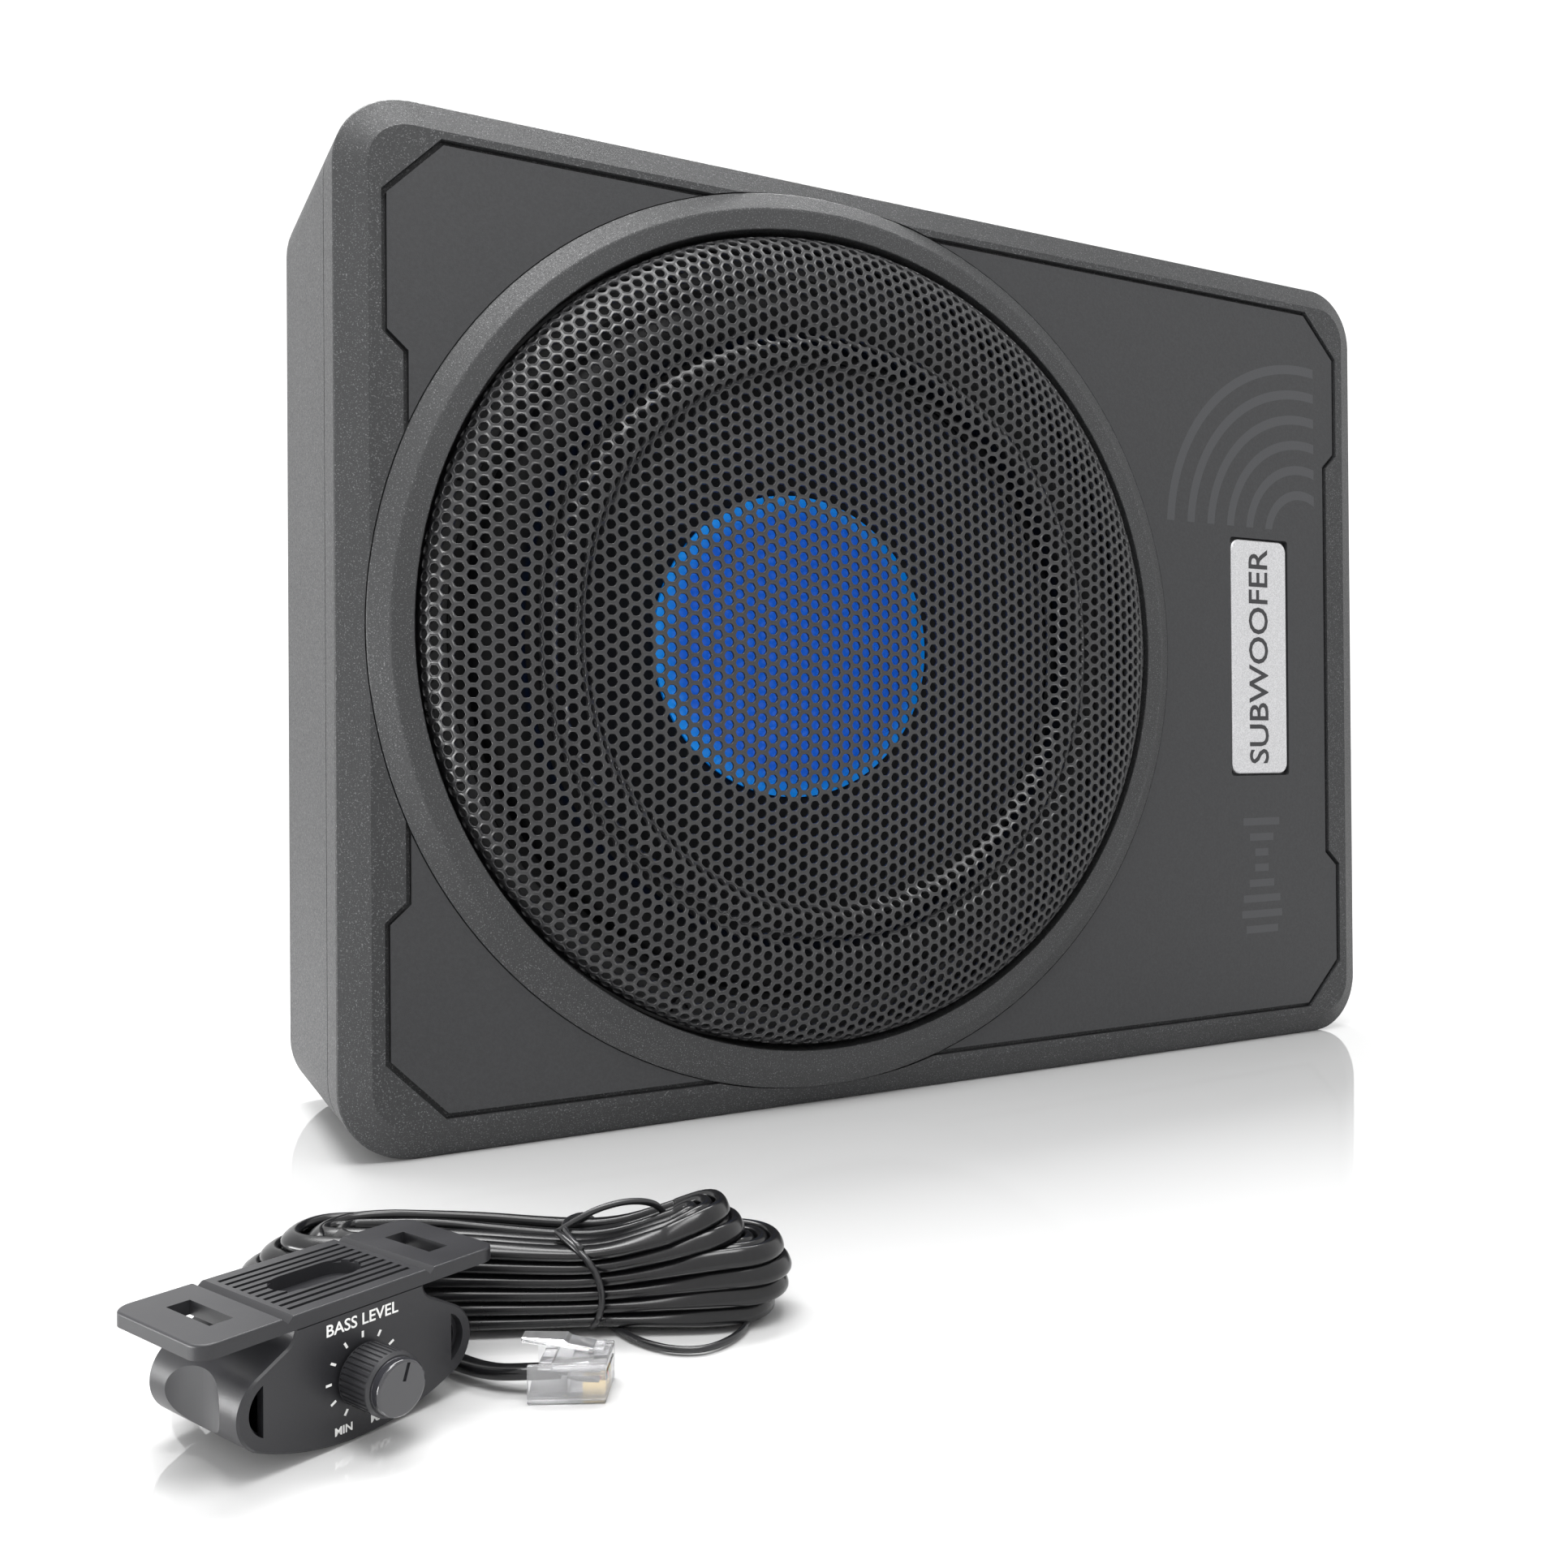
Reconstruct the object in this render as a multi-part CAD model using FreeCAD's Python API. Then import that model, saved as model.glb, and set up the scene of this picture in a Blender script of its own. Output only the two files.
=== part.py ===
# Powered car subwoofer that stands on its long side, with its wired level control and cable.
# Millimetres. +X runs along the box, -Y is the front with the grille, +Z is up.
# The origin is the middle of the long side that the box stands on.
import FreeCAD, Part
import math
import os

V = FreeCAD.Vector

# Enclosure
box_length = 358.0
box_height = 270.0
box_depth = 86.0
corner_radius = 19.0
shell_wall = 4.0
band_depth = 17.0          # side wall of the front shell
bevel_width = 7.8
bevel_depth = 3.9
edge_round = 0.7
reveal_width = 0.6         # groove round the joint of the two shells
reveal_depth = 0.6

# Panel set into the front
panel_side_margin = 11.0
panel_end_margin = 9.85
panel_corner_x = 15.0
panel_corner_z = 15.35
notch_depth = 5.2
notch_outer = 74.3         # half height of the side notch at the outline
notch_inner = 69.4
panel_recess = 2.4
panel_thickness = 2.0
panel_gap = 1.4
floor_under_panel = 3.6

# Badge
badge_x = 129.9
badge_width = 26.0
badge_height = 82.0
badge_thickness = 1.9
badge_gap = 0.7
badge_round = 3.6

# Trim ring and grille
grille_radius = 117.2
grille_clear = 1.3
ring_wall = 3.0
ring_flank = 5.7           # from the crest out to the rim
crest_width = 5.5
ring_bore = grille_radius + grille_clear
ring_spigot = ring_bore + ring_wall
ring_crest_radius = ring_bore + crest_width
ring_radius = ring_crest_radius + ring_flank
ring_rise = 3.2            # above the front face
ring_lip = 1.1             # how far the outer lip is let into the shell
lip_width = 1.5
fit_gap = 0.3
grille_sheet = 0.8
grille_rise = 9.0          # above the crest of the ring

# Loudspeaker
speaker_x = -42.4
seat_depth = 11.0          # from the front face to the speaker's seat
seat_thickness = 4.0
cup_wall = 4.0
gasket_thickness = 1.0
frame_overlap = 0.8        # flange of the frame past the grille's foot
flange_land = 9.2          # flat of the flange that the grille's foot stands on
flange_thickness = 1.5
frame_sheet = 2.0
frame_back_radius = 62.0
surround_land = 4.0
roll_width = 16.0
surround_sheet = 0.8
cone_depth = 21.0
cone_sheet = 1.0
cap_radius = 46.0
cap_rise = 9.0
cap_skirt = 1.2
coil_inner = 25.0
former_wall = 0.4
coil_wall = 0.9
coil_length = 19.0
spider_outer = 60.0
plate_radius = 55.0
plate_thickness = 5.0
magnet_radius = 60.0
magnet_bore = 31.0
magnet_thickness = 14.0
yoke_thickness = 6.0
pole_radius = 24.3
air_gap = 3.0
vent_radius = 8.0
speaker_screw_inset = 4.8   # from the surround out to the screw circle
speaker_screw_count = 8
screw_shank = 2.0
screw_head = 3.4
screw_head_height = 2.0

# Shell fastenings
boss_radius = 6.0
boss_inset = 12.5
counterbore = 4.3
screw_seat_depth = 29.0     # from the front face to the seat of the screw heads
shell_screw_length = 19.0
insert_spacing_x = 300.0
insert_spacing_z = 200.0
insert_radius = 3.6
insert_bore = 2.1
insert_length = 9.0
insert_clear = 0.5
seal_width = 1.2
seal_thickness = 1.0

# Control panel in the right end
controls_height = 194.0
controls_width = 50.0
controls_thickness = 2.5
window_margin = 4.0
controls_y = 7.0
knob_radius = 5.5
knob_length = 8.0
knob_stem = 3.0
running_gap = 0.05
knob_heights = (150.0, 172.0, 194.0)
knob_y = -3.0
switch_height = 214.0
switch_travel = 3.0
socket_y = 17.0
line_input_heights = (150.0, 168.0)
line_input_radius = 4.15
line_input_reach = 9.0
remote_socket_height = 192.0
speaker_socket_height = 124.0
light_heights = (124.0, 132.0)
light_radius = 1.5
terminal_height = 66.0
terminal_length = 36.0
fuse_height = 100.0

# Amplifier
board_x = 133.0
board_length = 66.0
board_height = 196.0
board_thickness = 1.6
board_standoff = 7.0
standoff_radius = 3.0
sink_length = 150.0
sink_width = 12.0
sink_height = 34.0
fin_count = 9

# Plug-and-socket sizes of a four-way telephone plug
plug_width = 9.65
plug_height = 6.6
plug_length = 12.4
plug_clear = 0.15
socket_wall = 1.4

# Wired level control, in its own frame: x across, y back from its face, z up
remote_place = (-199.5, -188.5)
remote_turn = 24.0
remote_half_width = 20.0
remote_height = 19.5
remote_depth = 25.0
remote_face = 1.6
remote_edge = 0.35
remote_back_bevel = 0.8
remote_wall = 2.4
grip_depth = 1.8            # finger hollow in each side
grip_middle = 12.2
grip_radius = 16.5
grip_low = 3.8
grip_high = 15.4
remote_neck = 11.0
bracket_half_width = 25.5
bracket_thickness = 2.2
slot_x = 18.6
slot_length = 12.0
slot_width = 3.6
remote_knob_height = 9.6
remote_knob_radius = 4.7
remote_knob_length = 7.4
remote_cap_radius = 4.15
remote_cap_length = 1.9
pointer_turn = 18.0
shaft_radius = 1.5
remote_socket_x = -7.0
remote_socket_z = 8.0
jack_length = 13.0

# Cable and hank, in the hank's frame: u along it, v towards the front, z up
cable_width = 4.0
hank_place = (-158.8, -158.95)
hank_turn = -28.0
hank_left = 57.0
hank_right = 39.5
hank_half_thickness = 9.6
hank_left_height = 17.8
hank_right_height = 21.6
hank_waist_u = 7.4
hank_waist_low = 1.6
hank_waist_high = 15.4
tie_thickness = 1.5
lead_route = [(-49.6, 32.55, 8.0), (-56.2, 27.4, 7.8), (-60.8, 19.8, 5.6), (-60.4, 11.0, 3.0),
              (-55.9, 3.4, 2.0), (-48.4, -1.6, 2.0), (-39.6, -2.8, 2.0)]
tail_route = [(-38.0, 7.0, 2.0), (-29.5, 11.5, 2.0), (-21.5, 17.0, 2.0), (-14.0, 23.5, 2.0),
              (-7.0, 28.9, 2.3), (0.5, 31.0, 3.3)]

# Radii that follow the grille
frame_radius = grille_radius + frame_overlap
surround_outer = grille_radius - flange_land
frame_wall_radius = surround_outer
seat_bore = frame_wall_radius + 1.5
roll_outer = surround_outer - surround_land
roll_inner = roll_outer - roll_width
speaker_screw_circle = surround_outer + speaker_screw_inset

# Planes that several pieces share
front_y = -box_depth / 2
back_y = box_depth / 2
joint_y = front_y + band_depth
middle_z = box_height / 2
end_x = box_length / 2
panel_floor_y = front_y + panel_recess
panel_top_y = panel_floor_y - panel_thickness
front_wall_y = panel_floor_y + floor_under_panel
crest_y = front_y - ring_rise
seat_y = front_y + seat_depth
flange_back_y = seat_y - gasket_thickness
flange_y = flange_back_y - flange_thickness
surround_y = flange_y - surround_sheet
neck_y = surround_y + cone_depth
cone_neck = coil_inner + former_wall
frame_back_y = neck_y + 24.0
magnet_y = frame_back_y + plate_thickness
yoke_y = magnet_y + magnet_thickness
inner_back_y = back_y - shell_wall
controls_x = end_x - shell_wall


# Basic shapes

def polygon_face(points):
    loop = [V(*p) for p in points]
    return Part.Face(Part.makePolygon(loop + [loop[0]]))


def block(low, high):
    size = [b - a for a, b in zip(low, high)]
    return Part.makeBox(size[0], size[1], size[2], V(*low))


def rod(radius, start, direction, length):
    return Part.makeCylinder(radius, length, V(*start), V(*direction))


def tube(outer, inner, start, direction, length):
    return rod(outer, start, direction, length).cut(rod(inner, start, direction, length))


def merge(shapes):
    whole = shapes[0]
    for shape in shapes[1:]:
        whole = whole.fuse(shape)
    return whole.removeSplitter()


def group(shapes):
    return Part.makeCompound(shapes)


def profile_wire(start, steps, place):
    """Lines and arcs: a step is an end point, or a point on the arc and its end point."""
    edges = []
    here = start
    for step in steps:
        if len(step) == 2:
            edges.append(Part.Arc(place(*here), place(*step[0]), place(*step[1])).toShape())
            here = step[1]
        else:
            edges.append(Part.LineSegment(place(*here), place(*step[0])).toShape())
            here = step[0]
    if math.dist(here, start) > 1e-6:
        edges.append(Part.LineSegment(place(*here), place(*start)).toShape())
    return Part.Wire(edges)


def about_speaker(start, *steps):
    """Turns a closed profile of (radius, y) points round the speaker's axis."""
    wire = profile_wire(start, steps, lambda r, y: V(speaker_x + r, y, middle_z))
    return Part.Face(wire).revolve(V(speaker_x, 0, middle_z), V(0, 1, 0), 360)


def plain_ring(outer, inner, low_y, high_y):
    return about_speaker((inner, low_y), [(outer, low_y)], [(outer, high_y)], [(inner, high_y)])


def speaker_disc(radius, low_y, high_y):
    return rod(radius, (speaker_x, low_y, middle_z), (0, 1, 0), high_y - low_y)


def round_speaker(radius, count, first=0.0):
    angles = [math.radians(first + 360.0 * i / count) for i in range(count)]
    return [(speaker_x + radius * math.cos(a), middle_z + radius * math.sin(a)) for a in angles]


def rounded_loop(inset, y):
    """The enclosure's outline, drawn in by an inset, at one depth."""
    half = end_x - inset
    low = inset
    high = box_height - inset
    r = corner_radius - inset
    bend = r * (1 - math.sqrt(0.5))
    place = lambda x, z: V(x, y, z)
    return profile_wire((-half + r, low), [
        [(half - r, low)], [(half - bend, low + bend), (half, low + r)],
        [(half, high - r)], [(half - bend, high - bend), (half - r, high)],
        [(-half + r, high)], [(-half + bend, high - bend), (-half, high - r)],
        [(-half, low + r)], [(-half + bend, low + bend), (-half + r, low)]], place)


def rounded_slab(inset, low_y, high_y):
    return Part.Face(rounded_loop(inset, low_y)).extrude(V(0, high_y - low_y, 0))


def panel_outline(gap, y):
    """Outline of the front panel: cut corners and a long shallow notch in each end."""
    x = end_x - panel_side_margin
    z = middle_z - panel_end_margin
    corner = [(x - panel_corner_x, z), (x, z - panel_corner_z), (x, notch_outer),
              (x - notch_depth, notch_inner)]
    quarter = corner + [(px, -pz) for px, pz in reversed(corner)]
    loop = quarter + [(-px, -pz) for px, pz in quarter]
    wire = Part.makePolygon([V(px, y, middle_z + pz) for px, pz in loop + loop[:1]])
    if gap > 0:
        wire = wire.makeOffset2D(-gap, 2)
    return Part.Face(wire)


# Enclosure

def boss_places():
    low = boss_inset
    high = box_height - boss_inset
    return [(x, z) for x in (-end_x + boss_inset, 100.0, end_x - boss_inset) for z in (low, high)]


def insert_places():
    return [(x, middle_z + z) for x in (-insert_spacing_x / 2, insert_spacing_x / 2)
            for z in (-insert_spacing_z / 2, insert_spacing_z / 2)]


def front_shell():
    bevel = Part.makeLoft([rounded_loop(0, front_y + bevel_depth), rounded_loop(bevel_width, front_y)],
                          True, True)
    body = merge([rounded_slab(0, front_y + bevel_depth, joint_y), bevel])
    rim = [e for e in body.Edges if abs(e.BoundBox.YMin - front_y - bevel_depth) < 1e-4
           and abs(e.BoundBox.YMax - front_y - bevel_depth) < 1e-4]
    body = body.makeFillet(edge_round, rim)
    body = body.cut(rounded_slab(shell_wall, front_wall_y, joint_y + 1))
    cup = speaker_disc(ring_spigot + fit_gap + cup_wall, front_wall_y, seat_y + seat_thickness)
    cup = cup.common(rounded_slab(shell_wall - 1, front_wall_y, joint_y))
    bosses = [rod(boss_radius, (x, front_wall_y, z), (0, 1, 0), joint_y - front_wall_y)
              for x, z in boss_places()]
    body = merge([body, cup] + bosses)
    body = body.cut(panel_outline(0, front_y - 1).extrude(V(0, panel_recess + 1, 0)))
    body = body.cut(speaker_disc(ring_radius + fit_gap, front_y - 1, panel_top_y))
    body = body.cut(lip_groove())
    body = body.cut(speaker_disc(ring_spigot + fit_gap, front_y - 1, seat_y))
    body = body.cut(speaker_disc(seat_bore, seat_y - 1, seat_y + seat_thickness + 1))
    for x, z in round_speaker(speaker_screw_circle, speaker_screw_count, 22.5):
        body = body.cut(rod(screw_shank, (x, seat_y - 1, z), (0, 1, 0), seat_thickness))
    for x, z in boss_places():
        body = body.cut(rod(screw_shank, (x, joint_y, z), (0, -1, 0), 7.0))
    return body


def lip_groove():
    return plain_ring(ring_radius + fit_gap, ring_radius - lip_width - fit_gap,
                      panel_top_y - 0.5, panel_top_y + ring_lip + fit_gap)


def rear_shell():
    body = rounded_slab(0, joint_y, back_y)
    rim = [e for e in body.Edges if e.BoundBox.YMin > back_y - 1e-4]
    body = body.makeFillet(2.0, rim)
    body = body.cut(rounded_slab(shell_wall, joint_y - 1, inner_back_y))
    posts = [rod(boss_radius, (x, joint_y, z), (0, 1, 0), inner_back_y - joint_y + 1)
             for x, z in boss_places()]
    pads = [rod(insert_radius + 2.5, (x, back_y - insert_length - 2.0, z), (0, 1, 0), insert_length)
            for x, z in insert_places()]
    body = merge([body] + posts + pads)
    for x, z in boss_places():
        body = body.cut(rod(counterbore, (x, front_y + screw_seat_depth, z), (0, 1, 0), 90))
        body = body.cut(rod(screw_shank + 0.3, (x, joint_y - 1, z), (0, 1, 0), 60))
    for x, z in insert_places():
        body = body.cut(rod(insert_radius, (x, back_y - insert_length, z), (0, 1, 0), 20))
    reveal = rounded_slab(-1, joint_y, joint_y + reveal_width)
    body = body.cut(reveal.cut(rounded_slab(reveal_depth, joint_y, joint_y + reveal_width)))
    body = body.cut(seal_shape())
    return body.cut(window_shape()).cut(panel_screw_holes())


def window_shape():
    half_y = controls_width / 2 - window_margin
    half_z = controls_height / 2 - window_margin
    return block((controls_x - 1, controls_y - half_y, middle_z - half_z),
                 (end_x + 1, controls_y + half_y, middle_z + half_z))


def controls_screw_places():
    inset = window_margin / 2
    return [(controls_y + sy * (controls_width / 2 - inset), middle_z + sz * (controls_height / 2 - 20))
            for sy in (-1, 1) for sz in (-1, 1)]


def panel_screw_holes():
    return group([rod(1.25, (controls_x - 6, y, z), (1, 0, 0), 12) for y, z in controls_screw_places()])


def seal_shape():
    outer = rounded_slab(shell_wall - 1.4 - seal_width / 2, joint_y, joint_y + seal_thickness)
    inner = rounded_slab(shell_wall - 1.4 + seal_width / 2, joint_y, joint_y + seal_thickness)
    return outer.cut(inner)


def shell_screws():
    head_y = front_y + screw_seat_depth
    screws = []
    for x, z in boss_places():
        head = rod(screw_head, (x, head_y, z), (0, 1, 0), screw_head_height)
        socket = rod(1.4, (x, head_y + 0.6, z), (0, 1, 0), screw_head_height)
        shank = rod(screw_shank - 0.02, (x, head_y, z), (0, -1, 0), shell_screw_length)
        screws.append(merge([head, shank]).cut(socket))
    return group(screws)


def bracket_inserts():
    inserts = []
    for x, z in insert_places():
        inserts.append(tube(insert_radius, insert_bore, (x, back_y - insert_length, z), (0, 1, 0),
                            insert_length - insert_clear))
    return group(inserts)


# Front panel, badge, ring and grille

def face_plate():
    body = panel_outline(panel_gap, panel_top_y).extrude(V(0, panel_thickness, 0))
    body = body.cut(speaker_disc(ring_spigot + 2 * fit_gap, front_y - 5, seat_y))
    body = body.cut(lip_groove())
    return body.cut(badge_block(badge_gap, 1.2, panel_top_y - 1, panel_thickness + 2))


def badge_block(gap, corner, low_y, thickness):
    half_x = badge_width / 2 + gap
    half_z = badge_height / 2 + gap
    body = block((badge_x - half_x, low_y, middle_z - half_z),
                 (badge_x + half_x, low_y + thickness, middle_z + half_z))
    uprights = [e for e in body.Edges if e.BoundBox.YLength > thickness / 2]
    return body.makeFillet(corner, uprights)


def badge():
    body = badge_block(0, badge_round, panel_floor_y - badge_thickness, badge_thickness)
    front = [e for e in body.Edges if e.BoundBox.YMax < panel_floor_y - badge_thickness + 1e-4]
    return body.makeChamfer(0.35, front)


def trim_ring():
    lip_y = panel_top_y + ring_lip
    lip_inner = ring_radius - lip_width
    foot_y = seat_y - fit_gap
    return about_speaker(
        (ring_bore, crest_y + 0.4), [(ring_bore + 0.12, crest_y + 0.12), (ring_bore + 0.4, crest_y)],
        [(ring_crest_radius - 0.3, crest_y)],
        [(ring_crest_radius + 0.3, crest_y + 0.06), (ring_crest_radius + 0.8, crest_y + 0.3)],
        [(ring_radius - 0.2, panel_top_y - 0.45)],
        [(ring_radius - 0.04, panel_top_y - 0.3), (ring_radius, panel_top_y)],
        [(ring_radius, lip_y)], [(lip_inner, lip_y)], [(lip_inner, panel_top_y)],
        [(ring_spigot, panel_top_y)], [(ring_spigot, foot_y)], [(ring_bore, foot_y)])


def grille_profile(offset):
    """Half section of the domed sheet: rim, shoulder, crease, ridge and sunken middle."""
    top = crest_y - grille_rise + offset
    r = grille_radius - offset
    return [(r, flange_y), (r, crest_y + 1.5), (r - 1.6, crest_y - 2.6),
            (r - 6.0, crest_y - 4.6 + offset / 2), (101.0, top + 1.5), (88.0, top + 0.35),
            (86.4, top + 0.7), (80.2, top), (78.8, top + 0.5), (75.6, top + 2.6),
            (72.0, top + 2.4), (0.0, top + 1.2)]


def grille():
    outside = grille_profile(0)
    inside = grille_profile(grille_sheet)
    steps = [[p] for p in outside[1:] + inside[::-1]]
    return about_speaker(outside[0], *steps)


# Loudspeaker

def speaker_gasket():
    return plain_ring(frame_radius, seat_bore, flange_back_y, seat_y).cut(speaker_screw_holes())


def speaker_screw_holes():
    return group([rod(screw_shank + 0.2, (x, flange_y - 1, z), (0, 1, 0), 4)
                  for x, z in round_speaker(speaker_screw_circle, speaker_screw_count, 22.5)])


def speaker_frame():
    wall = frame_wall_radius
    back = frame_back_radius
    ledge = frame_back_y - 9.0
    t = frame_sheet
    shell = about_speaker(
        (frame_radius, flange_y), [(frame_radius, flange_back_y)], [(wall, flange_back_y)],
        [(wall, neck_y - 4)], [(back + t, ledge + t)], [(50 + t, ledge + t)],
        [(46.0, frame_back_y)], [(coil_inner + 6, frame_back_y)], [(coil_inner + 6, frame_back_y - t)],
        [(46.0 - t, frame_back_y - t)], [(50, ledge)], [(back, ledge)],
        [(wall - t, neck_y - 4 - t)], [(wall - t, flange_back_y)], [(surround_outer - 4, flange_back_y)],
        [(surround_outer - 4, flange_y)])
    for i in range(6):
        window = polygon_face([(speaker_x + 68, neck_y - 2, middle_z - 14),
                               (speaker_x + 98, neck_y - 2, middle_z - 24),
                               (speaker_x + 98, neck_y - 2, middle_z + 24),
                               (speaker_x + 68, neck_y - 2, middle_z + 14)]).extrude(V(0, 22, 0))
        window.rotate(V(speaker_x, 0, middle_z), V(0, 1, 0), 60 * i + 30)
        shell = shell.cut(window)
    return shell.cut(speaker_screw_holes())


def speaker_screws():
    screws = []
    for x, z in round_speaker(speaker_screw_circle, speaker_screw_count, 22.5):
        head = rod(screw_head, (x, flange_y, z), (0, -1, 0), screw_head_height)
        socket = rod(1.2, (x, flange_y - 0.6, z), (0, -1, 0), screw_head_height)
        shank = rod(screw_shank - 0.02, (x, flange_y, z), (0, 1, 0), 5.0)
        screws.append(merge([head, shank]).cut(socket))
    return group(screws)


def surround():
    t = surround_sheet
    middle = (roll_outer + roll_inner) / 2
    rise = (roll_outer - roll_inner) / 2
    face = surround_y
    return about_speaker(
        (surround_outer, face), [(surround_outer, face + t)], [(roll_outer - t, face + t)],
        [(middle, face + t - rise + t), (roll_inner + t, face + t)],
        [(roll_inner - 3, face + t)], [(roll_inner - 3, face)], [(roll_inner, face)],
        [(middle, face - rise), (roll_outer, face)])


def cone():
    t = cone_sheet
    rim = roll_inner - 0.3
    face = surround_y + surround_sheet
    neck, middle, edge = cone_front()
    return about_speaker(
        (rim, face), [(rim, face + t)], [(rim - 4, face + t)],
        [(middle[0] - 0.5, middle[1] + 0.6 + t), (cone_neck, neck_y + t)], [neck],
        [middle, edge])


def cone_front():
    """Three points of the cone's front, from the neck to the rim."""
    return [(cone_neck, neck_y), (roll_inner - 27.5, neck_y - 11.6), (roll_inner - 3.3, surround_y + surround_sheet)]


def cone_front_at(radius):
    """Depth of the cone's front at one radius, on the arc through its three points."""
    (ax, ay), (bx, by), (cx, cy) = cone_front()
    d = 2 * (ax * (by - cy) + bx * (cy - ay) + cx * (ay - by))
    a2, b2, c2 = ax * ax + ay * ay, bx * bx + by * by, cx * cx + cy * cy
    x = (a2 * (by - cy) + b2 * (cy - ay) + c2 * (ay - by)) / d
    y = (a2 * (cx - bx) + b2 * (ax - cx) + c2 * (bx - ax)) / d
    side = 1 if by > y else -1
    return y + side * math.sqrt((ax - x) ** 2 + (ay - y) ** 2 - (radius - x) ** 2)


def dust_cap():
    t = cone_sheet
    r = cap_radius
    touch = cone_front_at(r) - 0.01
    base = touch - cap_skirt
    ball = (r * r + cap_rise * cap_rise) / (2 * cap_rise)
    centre = base - cap_rise + ball
    inner_base = centre - math.sqrt((ball - t) ** 2 - (r - t) ** 2)
    on_arc = lambda radius, x: (x, centre - math.sqrt(radius ** 2 - x ** 2))
    return about_speaker(
        (0, base - cap_rise), [on_arc(ball, r / 2), (r, base)], [(r, touch)], [(r - t, touch)],
        [(r - t, inner_base)], [on_arc(ball - t, r / 2), (0, base - cap_rise + t)])


def coil_former():
    outer = coil_inner + former_wall
    start = neck_y + cone_sheet - 2
    return tube(outer, coil_inner, (speaker_x, start, middle_z), (0, 1, 0), magnet_y + 6 - start)


def voice_coil():
    inner = coil_inner + former_wall
    centre = frame_back_y + plate_thickness / 2
    return tube(inner + coil_wall, inner, (speaker_x, centre - coil_length / 2, middle_z), (0, 1, 0),
                coil_length)


def spider():
    t = 0.6
    face = frame_back_y - 9.0 - t
    inner = coil_inner + former_wall
    waves = 5
    width = (50.0 - inner - 3.0) / waves
    steps = [[(inner + 3.0, face)]]
    back = []
    for i in range(waves):
        start = inner + 3.0 + i * width
        swing = 2.0 if i % 2 else -2.0
        steps.append([(start + width / 2, face + swing), (start + width, face)])
        back.append([(start + width / 2, face + t + swing), (start, face + t)])
    steps += [[(spider_outer, face)], [(spider_outer, face + t)], [(50.0, face + t)]]
    steps += back[::-1] + [[(inner, face + t)]]
    return about_speaker((inner, face), *steps)


def top_plate():
    inner = pole_radius + air_gap
    return plain_ring(plate_radius, inner, frame_back_y, magnet_y)


def magnet():
    return plain_ring(magnet_radius, magnet_bore, magnet_y, yoke_y)


def yoke():
    disc = speaker_disc(plate_radius, yoke_y, yoke_y + yoke_thickness)
    pole = speaker_disc(pole_radius, frame_back_y - 1, yoke_y)
    return merge([disc, pole]).cut(speaker_disc(vent_radius, frame_back_y - 5, yoke_y + 20))


def speaker_terminal():
    x = speaker_x + frame_wall_radius
    card = block((x, front_y + 21, middle_z - 9), (x + 1.6, front_y + 47, middle_z + 9))
    tabs = [block((x + 1.6, front_y + 41, middle_z + s - 3), (x + 9, front_y + 41.8, middle_z + s + 3))
            for s in (-5, 5)]
    return merge([card] + tabs)


# Amplifier

def board_low_y():
    return inner_back_y - board_standoff - board_thickness


def standoff_places():
    dx = board_length / 2 - 5
    dz = board_height / 2 - 5
    return [(board_x + sx * dx, middle_z + sz * dz) for sx in (-1, 1) for sz in (-1, 1)]


def amplifier_board():
    y = board_low_y()
    body = block((board_x - board_length / 2, y, middle_z - board_height / 2),
                 (board_x + board_length / 2, y + board_thickness, middle_z + board_height / 2))
    for x, z in standoff_places():
        body = body.cut(rod(1.6, (x, y - 1, z), (0, 1, 0), 4))
    return body


def board_standoffs():
    return group([tube(standoff_radius, 1.25, (x, inner_back_y - board_standoff, z), (0, 1, 0),
                       board_standoff) for x, z in standoff_places()])


def board_screws():
    y = board_low_y()
    return group([merge([rod(2.6, (x, y, z), (0, -1, 0), 1.8), rod(1.23, (x, y, z), (0, 1, 0), 6)])
                  for x, z in standoff_places()])


def heat_sink():
    x = board_x - board_length / 2 + 1
    y = board_low_y()
    low_z = middle_z - sink_length / 2
    base = block((x, y - sink_height, low_z), (x + 4, y, low_z + sink_length))
    pitch = sink_length / fin_count
    fins = [block((x + 4, y - sink_height, low_z + pitch * (i + 0.5) - 1),
                  (x + sink_width, y - 2, low_z + pitch * (i + 0.5) + 1)) for i in range(fin_count)]
    return merge([base] + fins)


def power_transistors():
    x = board_x - board_length / 2 + 1
    y = board_low_y()
    return group([block((x - 4.5, y - 20, middle_z + z - 5), (x, y - 5, middle_z + z + 5))
                  for z in (-54, -18, 18, 54)])


def power_transformer():
    y = board_low_y()
    return tube(19.0, 8.0, (board_x + 8, y, 70), (0, -1, 0), 20.0)


def output_coil():
    y = board_low_y()
    return tube(12.0, 5.0, (board_x + 6, y, 150), (0, -1, 0), 12.0)


def capacitors():
    y = board_low_y()
    cans = []
    for x, z in ((-4, 103), (14, 103), (-4, 122), (14, 122)):
        can = rod(8.0, (board_x + x, y, z), (0, -1, 0), 30.0)
        cans.append(can.makeFillet(1.0, [e for e in can.Edges if e.BoundBox.YMax < y - 20]))
    return group(cans)


# Control panel and its fittings

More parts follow.
